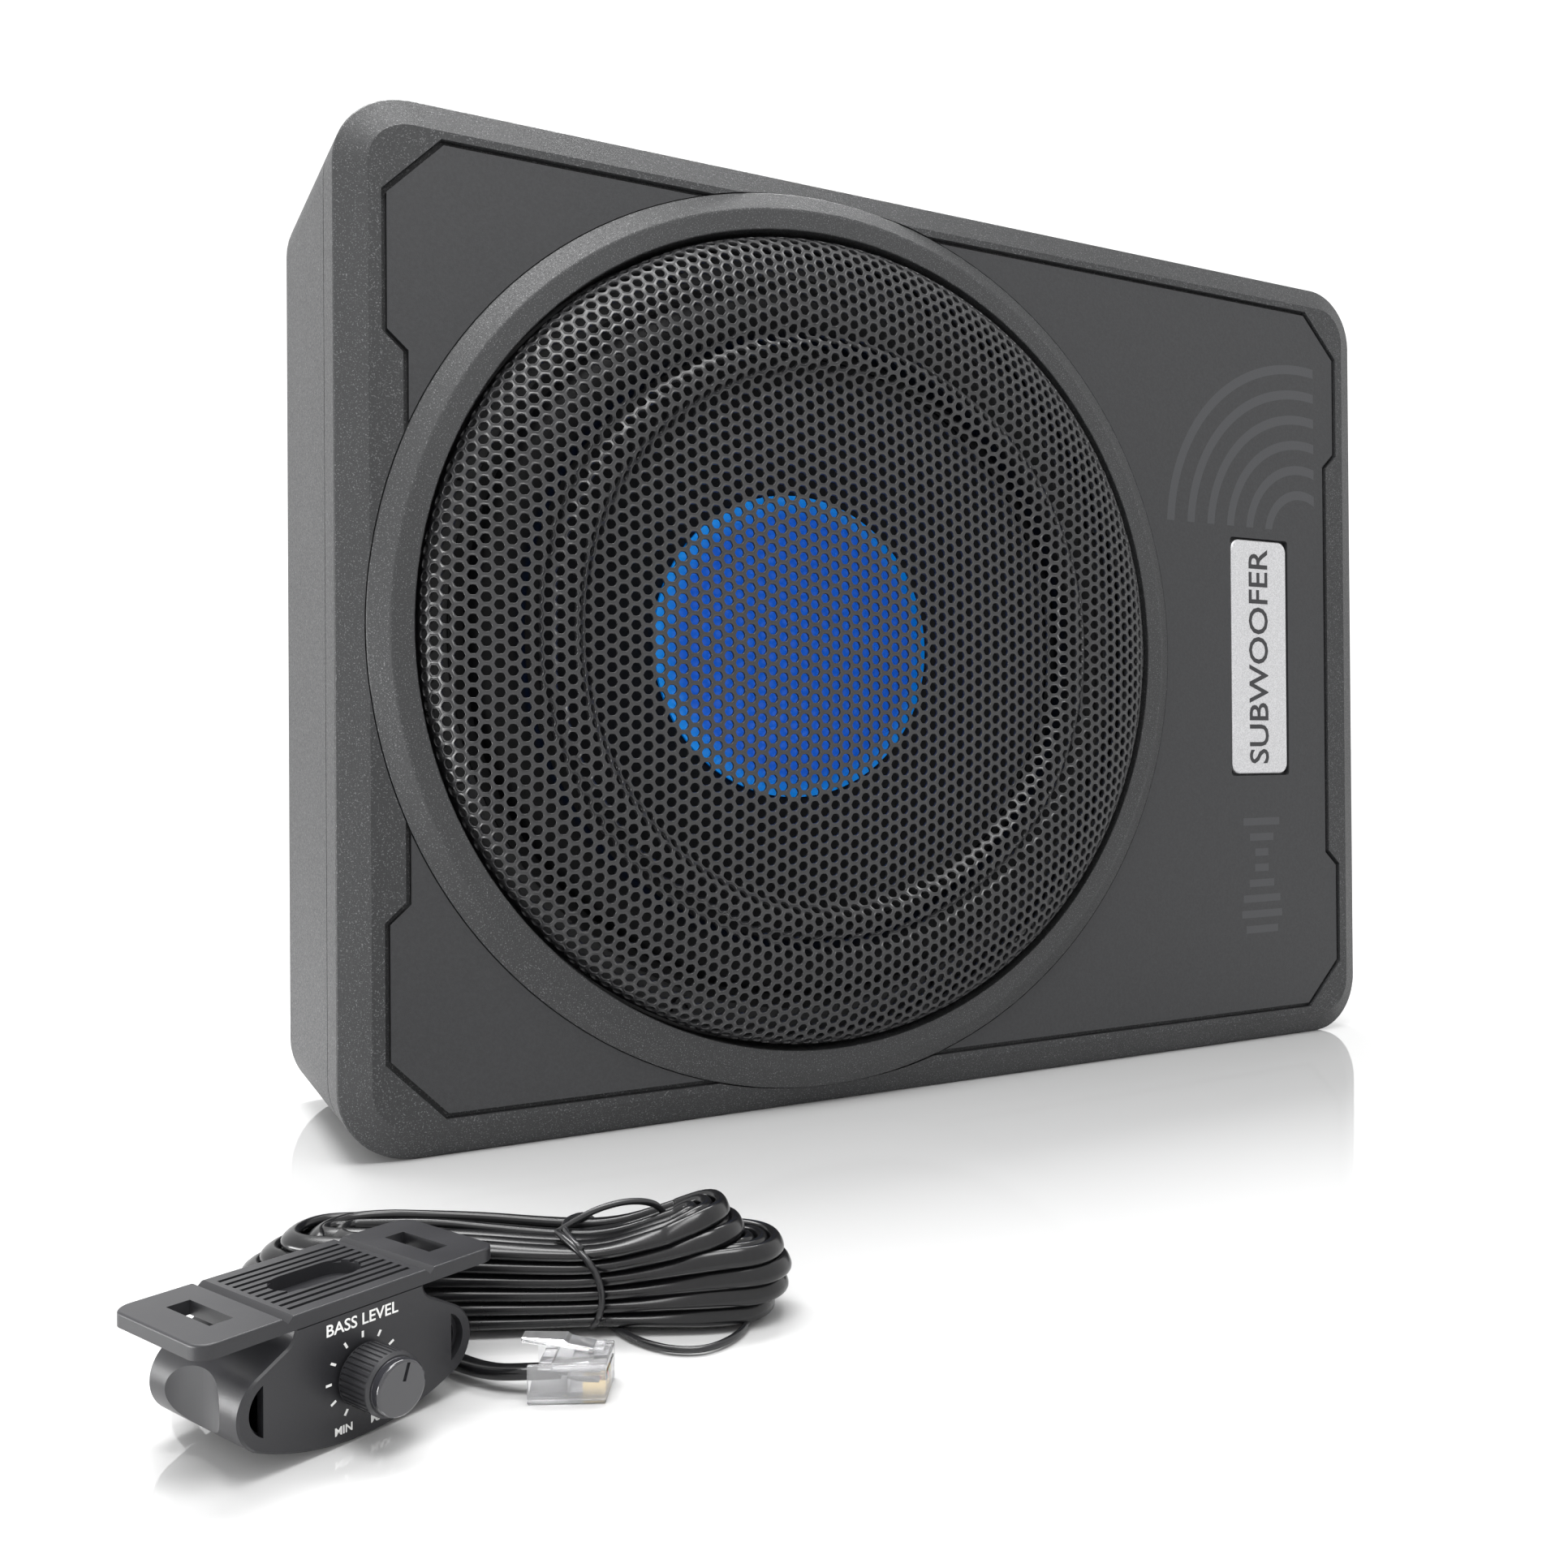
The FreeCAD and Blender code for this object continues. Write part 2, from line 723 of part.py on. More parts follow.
def control_panel():
    body = block((controls_x - controls_thickness, controls_y - controls_width / 2,
                  middle_z - controls_height / 2),
                 (controls_x, controls_y + controls_width / 2, middle_z + controls_height / 2))
    cuts = [stem_hole(z) for z in knob_heights]
    cuts.append(switch_slot())
    cuts += [through_panel(line_input_radius, socket_y, z) for z in line_input_heights]
    cuts += [through_panel(light_radius, knob_y, z) for z in light_heights]
    cuts += [through_panel(1.2, y, z) for y, z in controls_screw_places()]
    half_w = plug_width / 2 + socket_wall
    half_h = plug_height / 2 + socket_wall
    cuts.append(panel_cut(socket_y, remote_socket_height, half_h, half_w))
    cuts.append(panel_cut(socket_y, speaker_socket_height, 4.5, 9.0))
    cuts.append(panel_cut(controls_y, terminal_height, 8.0, terminal_length / 2))
    cuts.append(panel_cut(controls_y, fuse_height, 11.5, 7.0))
    return body.cut(group(cuts))


def through_panel(radius, y, z):
    return rod(radius, (controls_x - 10, y, z), (1, 0, 0), 20)


def stem_hole(z):
    return through_panel(knob_stem + running_gap, knob_y, z)


def panel_cut(y, z, half_y, half_z):
    return block((controls_x - 10, y - half_y, z - half_z), (controls_x + 2, y + half_y, z + half_z))


def switch_slot():
    return panel_cut(knob_y, switch_height, 2.0, 2.0 + switch_travel / 2 + 0.2)


def panel_screws():
    x = end_x
    screws = []
    for y, z in controls_screw_places():
        head = rod(1.9, (x, y, z), (1, 0, 0), 1.2)
        shank = rod(1.18, (x, y, z), (-1, 0, 0), shell_wall + controls_thickness + 2)
        screws.append(merge([head, shank]).cut(rod(0.8, (x + 0.5, y, z), (1, 0, 0), 2)))
    return group(screws)


def control_knob(z):
    face = controls_x + 1.0
    stem = rod(knob_stem, (controls_x - 9, knob_y, z), (1, 0, 0), 10)
    head = rod(knob_radius, (face, knob_y, z), (1, 0, 0), knob_length)
    head = head.makeFillet(0.6, [e for e in head.Edges if e.BoundBox.XMin > face + knob_length - 1e-4])
    for i in range(18):
        angle = math.radians(20 * i)
        place = (face + 2, knob_y + knob_radius * math.cos(angle), z + knob_radius * math.sin(angle))
        head = head.cut(rod(0.4, place, (1, 0, 0), knob_length))
    pointer = block((face + knob_length - 0.6, knob_y - 0.5, z + 1.2),
                    (face + knob_length + 1, knob_y + 0.5, z + knob_radius + 1))
    return merge([stem, head]).cut(pointer)


def level_pots():
    behind = controls_x - controls_thickness
    pots = []
    for z in knob_heights:
        body = block((behind - 9, knob_y - 8, z - 8), (behind, knob_y + 8, z + 8))
        pots.append(body.cut(stem_hole(z)))
    return group(pots)


def phase_switch():
    behind = controls_x - controls_thickness
    return block((behind - 0.4, knob_y - 1.8, switch_height - 2.0),
                 (end_x - 1.2, knob_y + 1.8, switch_height + 2.0))


def phase_switch_body():
    behind = controls_x - controls_thickness
    return block((behind - 8, knob_y - 4, switch_height - 7),
                 (behind - 0.5, knob_y + 4, switch_height + 7))


def line_inputs():
    behind = controls_x - controls_thickness
    sockets = []
    for z in line_input_heights:
        barrel = rod(line_input_radius, (behind - 4, socket_y, z), (1, 0, 0),
                     controls_thickness + 4 + line_input_reach)
        collar = rod(5.6, (controls_x, socket_y, z), (1, 0, 0), 1.2)
        base = block((behind - 10, socket_y - 6, z - 6), (behind, socket_y + 6, z + 6))
        socket = merge([base, barrel, collar])
        sockets.append(socket.cut(rod(1.7, (controls_x - 5, socket_y, z), (1, 0, 0), 20)))
    return group(sockets)


def remote_socket():
    half_w = plug_width / 2
    half_h = plug_height / 2
    low_x = controls_x - controls_thickness - 12
    shell = block((low_x, socket_y - half_h - socket_wall, remote_socket_height - half_w - socket_wall),
                  (controls_x + 1, socket_y + half_h + socket_wall,
                   remote_socket_height + half_w + socket_wall))
    mouth = block((low_x + 1.5, socket_y - half_h - plug_clear,
                   remote_socket_height - half_w - plug_clear),
                  (controls_x + 3, socket_y + half_h + plug_clear,
                   remote_socket_height + half_w + plug_clear))
    return shell.cut(mouth)


def speaker_socket():
    low_x = controls_x - controls_thickness - 9
    z = speaker_socket_height
    shell = block((low_x, socket_y - 4.5, z - 9), (controls_x + 1.2, socket_y + 4.5, z + 9))
    mouth = block((low_x + 3, socket_y - 3.3, z - 7.8), (controls_x + 3, socket_y + 3.3, z + 7.8))
    return shell.cut(mouth)


def speaker_socket_pins():
    low_x = controls_x - controls_thickness - 6
    z = speaker_socket_height
    return group([rod(0.5, (low_x, socket_y, z + s), (1, 0, 0), 4.5) for s in (-5.4, -1.8, 1.8, 5.4)])


def power_terminal():
    z = terminal_height
    half = terminal_length / 2
    low_x = controls_x - controls_thickness - 6
    body = block((low_x, controls_y - 8, z - half), (controls_x + 3, controls_y + 8, z + half))
    for i in (-1, 0, 1):
        cell = block((controls_x - 4, controls_y - 6.5, z + 11.6 * i - 5),
                     (controls_x + 5, controls_y + 6.5, z + 11.6 * i + 5))
        body = body.cut(cell)
    return body


def terminal_screws():
    screws = []
    for i in (-1, 0, 1):
        z = terminal_height + 11.6 * i
        x = controls_x - 4
        clamp = block((x, controls_y - 4.5, z - 4.5), (x + 1.2, controls_y + 4.5, z + 4.5))
        head = rod(3.2, (x + 1.2, controls_y, z), (1, 0, 0), 2.4)
        cross = merge([block((x + 2.6, controls_y - 2.4, z - 0.4), (x + 5, controls_y + 2.4, z + 0.4)),
                       block((x + 2.6, controls_y - 0.4, z - 2.4), (x + 5, controls_y + 0.4, z + 2.4))])
        screws.append(merge([clamp, head]).cut(cross))
    return group(screws)


def fuse_holder():
    low_x = controls_x - controls_thickness - 10
    body = block((low_x, controls_y - 11.5, fuse_height - 7),
                 (controls_x + 1, controls_y + 11.5, fuse_height + 7))
    for s in (-1, 1):
        body = body.cut(block((low_x + 2, controls_y + 5.6 * s - 2.2, fuse_height - 5.6),
                              (controls_x + 2, controls_y + 5.6 * s + 2.2, fuse_height + 5.6)))
    return body


def fuses():
    pieces = []
    for s in (-1, 1):
        y = controls_y + 5.6 * s
        blades = [block((controls_x - 10, y - 0.35, fuse_height + d - 1.2),
                        (controls_x - 3, y + 0.35, fuse_height + d + 1.2)) for d in (-3.4, 3.4)]
        head = block((controls_x - 3, y - 1.9, fuse_height - 5.3),
                     (controls_x + 3.4, y + 1.9, fuse_height + 5.3))
        head = head.makeFillet(0.5, head.Edges)
        pieces.append(merge([head] + blades))
    return group(pieces)


def signal_lights():
    behind = controls_x - controls_thickness
    lights = []
    for z in light_heights:
        lens = rod(light_radius, (behind - 3, knob_y, z), (1, 0, 0), controls_thickness + 3.8)
        lights.append(lens.makeFillet(0.7, [e for e in lens.Edges if e.BoundBox.XMin > controls_x]))
    return group(lights)


# Wired level control

def to_remote(shape):
    shape = shape.copy()
    shape.rotate(V(0, 0, 0), V(0, 0, 1), remote_turn)
    shape.translate(V(remote_place[0], remote_place[1], 0))
    return shape


def lens_outline(inset, y):
    """Front view of the control: round bottom, pointed ends and a neck under the bracket."""
    w = remote_half_width - inset
    low = inset
    n = remote_neck - inset
    top = remote_height - inset * 0.5
    mid = remote_knob_height
    place = lambda x, z: V(x, y, z)
    return profile_wire((-w + 2.6, mid - 5.4 + inset * 0.5), [
        [(0, low), (w - 2.6, mid - 5.4 + inset * 0.5)],
        [(w, mid), (w - 3.2, mid + 5.0 - inset * 0.4)],
        [(n + 1.8, top - 2.6)], [(n + 0.5, top - 1.5), (n, top)],
        [(-n, top)], [(-n - 0.5, top - 1.5), (-n - 1.8, top - 2.6)],
        [(-w + 3.2, mid + 5.0 - inset * 0.4)],
        [(-w, mid), (-w + 2.6, mid - 5.4 + inset * 0.5)]], place)


def lens_slab(inset, low_y, high_y):
    return Part.Face(lens_outline(inset, low_y)).extrude(V(0, high_y - low_y, 0))


def remote_housing():
    straight = lens_slab(0, remote_face, remote_depth - remote_back_bevel)
    back = Part.makeLoft([lens_outline(0, remote_depth - remote_back_bevel),
                          lens_outline(remote_back_bevel, remote_depth)], True, True)
    body = merge([straight, back])
    body = body.cut(lens_slab(remote_wall, remote_face - 1, remote_depth - remote_wall))
    for side in (-1, 1):
        centre = side * (remote_half_width - grip_depth + grip_radius)
        body = body.cut(rod(grip_radius, (centre, grip_middle, grip_low), (0, 0, 1), grip_high - grip_low))
    half_w = plug_width / 2 + socket_wall
    half_h = plug_height / 2 + socket_wall
    body = body.cut(block((remote_socket_x - half_w, remote_depth - jack_length, remote_socket_z - half_h),
                          (remote_socket_x + half_w, remote_depth + 2, remote_socket_z + half_h)))
    return to_remote(body)


def remote_front():
    bevel = Part.makeLoft([lens_outline(remote_edge, 0), lens_outline(0, remote_edge)], True, True)
    body = merge([bevel, lens_slab(0, remote_edge, remote_face)])
    for side in (-1, 1):
        moon = rod(4.3, (side * (remote_half_width - 6.0), -1, remote_knob_height), (0, 1, 0), 4)
        low_x = remote_half_width - 3.9 if side > 0 else -remote_half_width + 1.4
        moon = moon.common(block((low_x, -1, 0), (low_x + 2.5, 4, 20)))
        body = body.cut(moon)
    return to_remote(body.cut(rod(shaft_radius + running_gap, (0, -1, remote_knob_height), (0, 1, 0), 4)))


def remote_bracket():
    low = remote_height
    high = remote_height + bracket_thickness
    plate = block((-bracket_half_width, 0, low), (bracket_half_width, remote_depth, high))
    uprights = [e for e in plate.Edges if e.BoundBox.ZLength > 1]
    plate = plate.makeFillet(3.0, uprights)
    plate = plate.makeFillet(0.4, [e for e in plate.Edges if e.BoundBox.ZMin > high - 1e-4])
    for side in (-1, 1):
        slot = block((side * slot_x - slot_width / 2, remote_depth / 2 - slot_length / 2, low - 1),
                     (side * slot_x + slot_width / 2, remote_depth / 2 + slot_length / 2, high + 1))
        plate = plate.cut(slot)
        groove = polygon_face([(side * (remote_neck + 1.2), -1, high - 0.9),
                               (side * (remote_neck + 2.4), -1, high + 0.3),
                               (side * remote_neck, -1, high + 0.3)]).extrude(V(0, 60, 0))
        plate = plate.cut(groove)
    for i in range(10):
        y = 2.6 + 2.1 * i
        plate = plate.cut(block((-remote_neck + 0.6, y, high - 0.45), (remote_neck - 0.6, y + 0.9, high + 1)))
    middle = remote_depth / 2
    ends = [rod(4.0, (side * 3.4, middle, low - 1), (0, 0, 1), 5) for side in (-1, 1)]
    hole = merge(ends + [block((-3.4, middle - 4.0, low - 1), (3.4, middle + 4.0, low + 4))])
    return to_remote(plate.cut(hole))


def remote_board():
    return to_remote(block((-9, 8.6, 4.4), (9, 9.8, 16.0)))


def remote_pot():
    body = block((-4.8, remote_face, remote_knob_height - 5), (4.8, 8.6, remote_knob_height + 5))
    bore = rod(shaft_radius + running_gap, (0, -1, remote_knob_height), (0, 1, 0), 8)
    return to_remote(body.cut(bore))


def remote_shaft():
    return to_remote(rod(shaft_radius, (0, 6.6, remote_knob_height), (0, -1, 0), 11.0))


def remote_knob():
    centre = remote_knob_height
    body = rod(remote_knob_radius, (0, -0.5, centre), (0, -1, 0), remote_knob_length)
    body = body.makeChamfer(0.4, [e for e in body.Edges])
    ribs = []
    for i in range(36):
        angle = math.radians(10 * i)
        place = (remote_knob_radius * math.cos(angle), -1.1,
                 centre + remote_knob_radius * math.sin(angle))
        ribs.append(rod(0.2, place, (0, -1, 0), remote_knob_length - 1.3))
    return to_remote(body.cut(group(ribs)).cut(rod(shaft_radius, (0, 0, centre), (0, -1, 0), 4.4)))


def remote_knob_cap():
    centre = remote_knob_height
    start = -0.5 - remote_knob_length
    body = rod(remote_cap_radius, (0, start, centre), (0, -1, 0), remote_cap_length)
    body = body.makeFillet(0.45, [e for e in body.Edges if e.BoundBox.YMax < start - 1])
    pointer = block((-0.3, start - remote_cap_length - 1, centre + 1.0),
                    (0.3, start - remote_cap_length + 0.35, centre + remote_cap_radius - 0.5))
    pointer.rotate(V(0, 0, centre), V(0, 1, 0), pointer_turn)
    return to_remote(body.cut(pointer))


def remote_jack():
    half_w = plug_width / 2
    half_h = plug_height / 2
    x = remote_socket_x
    z = remote_socket_z
    back = remote_depth
    shell = block((x - half_w - socket_wall, back - jack_length, z - half_h - socket_wall),
                  (x + half_w + socket_wall, back - 0.2, z + half_h + socket_wall))
    mouth = block((x - half_w - plug_clear, back - jack_length + 1.5, z - half_h - plug_clear),
                  (x + half_w + plug_clear, back + 2, z + half_h + plug_clear))
    return to_remote(shell.cut(mouth))


# Cable

def to_hank(point):
    turn = math.radians(hank_turn)
    u, v, z = point
    return V(hank_place[0] + u * math.cos(turn) + v * math.sin(turn),
             hank_place[1] + u * math.sin(turn) - v * math.cos(turn), z)


def cable_tube(name, route):
    """Straight runs joined by tangent arcs, one arc at each inner point."""
    points = [to_hank(p) for p in route]
    edges = []
    here = points[0]
    radii = []
    for before, corner, after in zip(points, points[1:], points[2:]):
        into = corner - before
        out = after - corner
        turn = into.getAngle(out)
        reach = 0.45 * min(into.Length, out.Length)
        radii.append(reach / math.tan(turn / 2))
        into.normalize()
        out.normalize()
        start = corner - into * reach
        end = corner + out * reach
        middle = (into * -1 + out).normalize()
        bow = radii[-1] / math.cos(turn / 2) - radii[-1]
        edges.append(Part.LineSegment(here, start).toShape())
        edges.append(Part.Arc(start, corner + middle * bow, end).toShape())
        here = end
    edges.append(Part.LineSegment(here, points[-1]).toShape())
    path = Part.Wire(edges)
    direction = points[1] - points[0]
    section = Part.Wire([Part.makeCircle(cable_width / 2, points[0], direction)])
    solid = path.makePipeShell([section], True, False, 2)
    wanted = math.pi * (cable_width / 2) ** 2 * path.Length
    print(name, "length %.1f" % path.Length, "radii", ["%.1f" % r for r in radii],
          "volume ratio %.4f" % (solid.Volume / wanted))
    return solid


def cable_hank():
    thick = hank_half_thickness
    side = profile_wire((-hank_left, 0), [
        [(-hank_left, 8.5)], [(-43.0, hank_left_height)], [(-28.0, hank_left_height)],
        [(0.0, hank_waist_high + 0.6)], [(hank_waist_u - 1.0, hank_waist_high)],
        [(hank_waist_u + 1.0, hank_waist_high)], [(hank_right - 11.0, hank_right_height)],
        [(hank_right - 5.0, hank_right_height - 3.5)], [(hank_right, hank_right_height - 7.0)],
        [(hank_right, 0)], [(hank_waist_u + 16, 0)],
        [(hank_waist_u + 1.0, hank_waist_low)], [(hank_waist_u - 1.0, hank_waist_low)],
        [(hank_waist_u - 16, 0)]], lambda u, z: V(u, thick + 1, z))
    body = Part.Face(side).extrude(V(0, -2 * thick - 2, 0))
    left = thick - hank_left
    right = hank_right - thick
    plan = profile_wire((left, -thick), [
        [(right, -thick)], [(hank_right, 0), (right, thick)], [(left, thick)],
        [(-hank_left, 0), (left, -thick)]], lambda u, v: V(u, v, -1))
    return place_hank(body.common(Part.Face(plan).extrude(V(0, 0, 60))))


def place_hank(shape):
    shape = shape.copy()
    shape.rotate(V(0, 0, 0), V(0, 0, 1), hank_turn)
    shape.translate(V(hank_place[0], hank_place[1], 0))
    return shape


def cable_tie():
    half = hank_half_thickness
    t = tie_thickness
    u = hank_waist_u
    outer = block((u - 0.8, -half - t, hank_waist_low - t), (u + 0.8, half + t, hank_waist_high + t))
    outer = outer.makeFillet(1.4, [e for e in outer.Edges if e.BoundBox.XLength > 1])
    inner = block((u - 2, -half, hank_waist_low), (u + 2, half, hank_waist_high))
    return place_hank(outer.cut(inner))


def telephone_plug(length):
    """Clear plug that points along +x from its cable entry at the origin, latch up."""
    half = plug_width / 2
    body = block((0, -half, -plug_height / 2), (length, half, plug_height / 2))
    body = body.makeFillet(0.4, [e for e in body.Edges if e.BoundBox.XLength > 1])
    top = plug_height / 2
    latch = polygon_face([(length - 2.6, -1.9, top - 0.1), (length - 2.6, -1.9, top + 0.9),
                          (1.4, -1.9, top + 2.4), (1.4, -1.9, top + 1.6)])
    return merge([body, latch.extrude(V(0, 3.8, 0))])


def loose_plug():
    plug = telephone_plug(plug_length)
    end = tail_route[-1]
    plug.rotate(V(0, 0, 0), V(0, 0, 1), hank_turn)
    plug.translate(to_hank(end))
    return plug


def seated_plug():
    """The plug in the control's socket, with its latch folded flat by the socket."""
    half_w = plug_width / 2
    half_h = plug_height / 2
    back = remote_depth
    body = block((remote_socket_x - half_w, back - 8.0, remote_socket_z - half_h),
                 (remote_socket_x + half_w, back + 4.5, remote_socket_z + half_h))
    return to_remote(body.makeFillet(0.4, [e for e in body.Edges if e.BoundBox.YLength > 1]))


def parts():
    gain, crossover, boost = [control_knob(z) for z in knob_heights]
    return {
        "front_shell": front_shell(), "rear_shell": rear_shell(), "shell_seal": seal_shape(),
        "shell_screws": shell_screws(), "bracket_inserts": bracket_inserts(),
        "face_plate": face_plate(), "badge": badge(), "trim_ring": trim_ring(), "grille": grille(),
        "speaker_gasket": speaker_gasket(), "speaker_frame": speaker_frame(),
        "speaker_screws": speaker_screws(), "surround": surround(), "cone": cone(),
        "dust_cap": dust_cap(), "coil_former": coil_former(), "voice_coil": voice_coil(),
        "spider": spider(), "top_plate": top_plate(), "magnet": magnet(), "yoke": yoke(),
        "speaker_terminal": speaker_terminal(), "amplifier_board": amplifier_board(),
        "board_standoffs": board_standoffs(), "board_screws": board_screws(),
        "heat_sink": heat_sink(), "power_transistors": power_transistors(),
        "power_transformer": power_transformer(), "output_coil": output_coil(),
        "capacitors": capacitors(), "control_panel": control_panel(),
        "panel_screws": panel_screws(), "gain_knob": gain, "crossover_knob": crossover,
        "boost_knob": boost, "level_pots": level_pots(), "phase_switch": phase_switch(),
        "phase_switch_body": phase_switch_body(), "line_inputs": line_inputs(),
        "remote_socket": remote_socket(), "speaker_socket": speaker_socket(),
        "speaker_socket_pins": speaker_socket_pins(), "power_terminal": power_terminal(),
        "terminal_screws": terminal_screws(), "fuse_holder": fuse_holder(), "fuses": fuses(),
        "signal_lights": signal_lights(), "remote_housing": remote_housing(),
        "remote_front": remote_front(), "remote_bracket": remote_bracket(),
        "remote_board": remote_board(), "remote_pot": remote_pot(), "remote_jack": remote_jack(),
        "remote_knob": remote_knob(), "remote_knob_cap": remote_knob_cap(),
        "remote_shaft": remote_shaft(), "remote_cable": cable_leads(),
        "cable_hank": cable_hank(), "cable_tie": cable_tie(),
        "cable_plugs": group([loose_plug(), seated_plug()]),
    }


def cable_leads():
    return group([cable_tube("lead", lead_route), cable_tube("tail", tail_route)])


os.makedirs("parts", exist_ok=True)
for name, shape in parts().items():
    shape.exportStep("parts/" + name + ".step")
    print("%-20s solids %d volume %.1f valid %s" % (name, len(shape.Solids), shape.Volume, shape.isValid()))
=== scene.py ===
import bmesh
import bpy
import math
import random
from mathutils import Matrix, Vector


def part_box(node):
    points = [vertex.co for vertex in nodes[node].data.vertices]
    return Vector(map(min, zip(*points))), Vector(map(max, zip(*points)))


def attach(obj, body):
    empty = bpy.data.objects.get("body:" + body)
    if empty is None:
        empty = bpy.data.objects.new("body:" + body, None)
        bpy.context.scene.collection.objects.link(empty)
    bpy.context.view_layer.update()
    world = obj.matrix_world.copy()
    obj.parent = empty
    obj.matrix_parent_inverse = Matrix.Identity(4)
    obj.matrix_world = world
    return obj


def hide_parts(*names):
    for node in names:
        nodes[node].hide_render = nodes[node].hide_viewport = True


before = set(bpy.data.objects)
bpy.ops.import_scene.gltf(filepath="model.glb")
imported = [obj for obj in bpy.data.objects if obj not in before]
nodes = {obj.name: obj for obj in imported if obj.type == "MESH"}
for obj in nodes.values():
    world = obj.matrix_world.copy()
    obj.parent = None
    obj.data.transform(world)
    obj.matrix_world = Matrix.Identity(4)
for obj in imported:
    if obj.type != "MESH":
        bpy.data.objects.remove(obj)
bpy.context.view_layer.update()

scene = bpy.context.scene
mm = 0.001
perMm = 1 / mm
printGap = 0.00003     # metres between printed lettering and its surface
nearby = 1e-5          # metres between two path points that count as one
splineOrder = 3
print("frame loaded,", len(nodes), "CAD nodes")


# Shader building: a wire is a socket that takes plain arithmetic

class Wire:
    def __init__(self, paint, socket):
        self.paint = paint
        self.socket = socket

    def maths(self, operation, first, second):
        return self.paint.maths(operation, first, second)

    def __add__(self, other):
        return self.maths("ADD", self, other)

    def __mul__(self, other):
        return self.maths("MULTIPLY", self, other)

    def __sub__(self, other):
        return self.maths("SUBTRACT", self, other)

    def __truediv__(self, other):
        return self.maths("DIVIDE", self, other)

    def __gt__(self, other):
        return self.maths("GREATER_THAN", self, other)

    def __lt__(self, other):
        return self.maths("LESS_THAN", self, other)


class Paint:
    def __init__(self, name, colour, roughness, metallic=0.0, **sockets):
        self.material = bpy.data.materials.new(name)
        self.material.use_nodes = True
        self.tree = self.material.node_tree
        self.shader = self.tree.nodes["Principled BSDF"]
        self.set("Base Color", (*colour, 1.0))
        self.set("Roughness", roughness)
        self.set("Metallic", metallic)
        for key, value in sockets.items():
            self.set(key.replace("_", " "), value)

    def add(self, kind, settings=None, inputs=None, output=0):
        node = self.tree.nodes.new(kind)
        for key, value in (settings or {}).items():
            setattr(node, key, value)
        for key, value in (inputs or {}).items():
            self.feed(node.inputs[key], value)
        return Wire(self, node.outputs[output])

    def feed(self, socket, value):
        if isinstance(value, Wire):
            self.tree.links.new(value.socket, socket)
        else:
            socket.default_value = value

    def set(self, name, value):
        self.feed(self.shader.inputs[name], value)

    def maths(self, operation, first, second=0.0):
        return self.add("ShaderNodeMath", {"operation": operation}, {0: first, 1: second})

    def where(self):
        return self.add("ShaderNodeTexCoord", output="Object")

    def axis(self, index):
        return self.add("ShaderNodeSeparateXYZ", inputs={0: self.where()}, output=index)

    def noise(self, scale, detail=2.0, rough=0.5, source=None):
        return self.add("ShaderNodeTexNoise", inputs={"Vector": source or self.where(), "Scale": scale,
                                                      "Detail": detail, "Roughness": rough})

    def cells(self, scale):
        return self.add("ShaderNodeTexVoronoi", inputs={"Vector": self.where(), "Scale": scale})

    def spread(self, value, low, high, toLow=0.0, toHigh=1.0):
        return self.add("ShaderNodeMapRange", inputs={"Value": value, "From Min": low, "From Max": high,
                                                      "To Min": toLow, "To Max": toHigh})

    def mixed(self, factor, first, second):
        pair = [c if isinstance(c, Wire) else (*c, 1.0) for c in (first, second)]
        return self.add("ShaderNodeMix", {"data_type": "RGBA"}, {0: factor, 6: pair[0], 7: pair[1]}, 2)

    def bump(self, height, strength, distance):
        self.set("Normal", self.add("ShaderNodeBump", inputs={"Height": height, "Strength": strength,
                                                              "Distance": distance}))


# Camera

cameraSetup = {"place": (-239.9, -417.2, 102.9), "yaw": 29.77, "pitch": -0.324, "roll": -0.415,
               "lens": 33.13, "shift": (-0.0598, -0.0263)}


def addCamera(setup):
    yaw, pitch, roll = [math.radians(setup[key]) for key in ("yaw", "pitch", "roll")]
    forward = Vector((math.sin(yaw) * math.cos(pitch), math.cos(yaw) * math.cos(pitch), -math.sin(pitch)))
    right = Vector((math.cos(yaw), -math.sin(yaw), 0))
    up = right.cross(forward)
    rolledRight = right * math.cos(roll) + up * math.sin(roll)
    rolledUp = up * math.cos(roll) - right * math.sin(roll)
    data = bpy.data.cameras.new("camera")
    data.lens = setup["lens"]
    data.sensor_width = 36.0
    data.shift_x, data.shift_y = setup["shift"]
    data.clip_start = 0.01
    camera = bpy.data.objects.new("camera", data)
    turn = Matrix((rolledRight, rolledUp, -forward)).transposed().to_4x4()
    camera.matrix_world = Matrix.Translation(Vector(setup["place"]) * mm) @ turn
    scene.collection.objects.link(camera)
    scene.camera = camera


addCamera(cameraSetup)
print("camera placed")


# Mesh helpers

def addMesh(name, points, faces, paint, body, smooth=True):
    mesh = bpy.data.meshes.new(name)
    mesh.from_pydata([tuple(p) for p in points], [], faces)
    mesh.validate()
    mesh.update()
    if smooth:
        mesh.shade_smooth()
    piece = bpy.data.objects.new(name, mesh)
    scene.collection.objects.link(piece)
    mesh.materials.append(paint.material)
    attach(piece, body)
    return piece


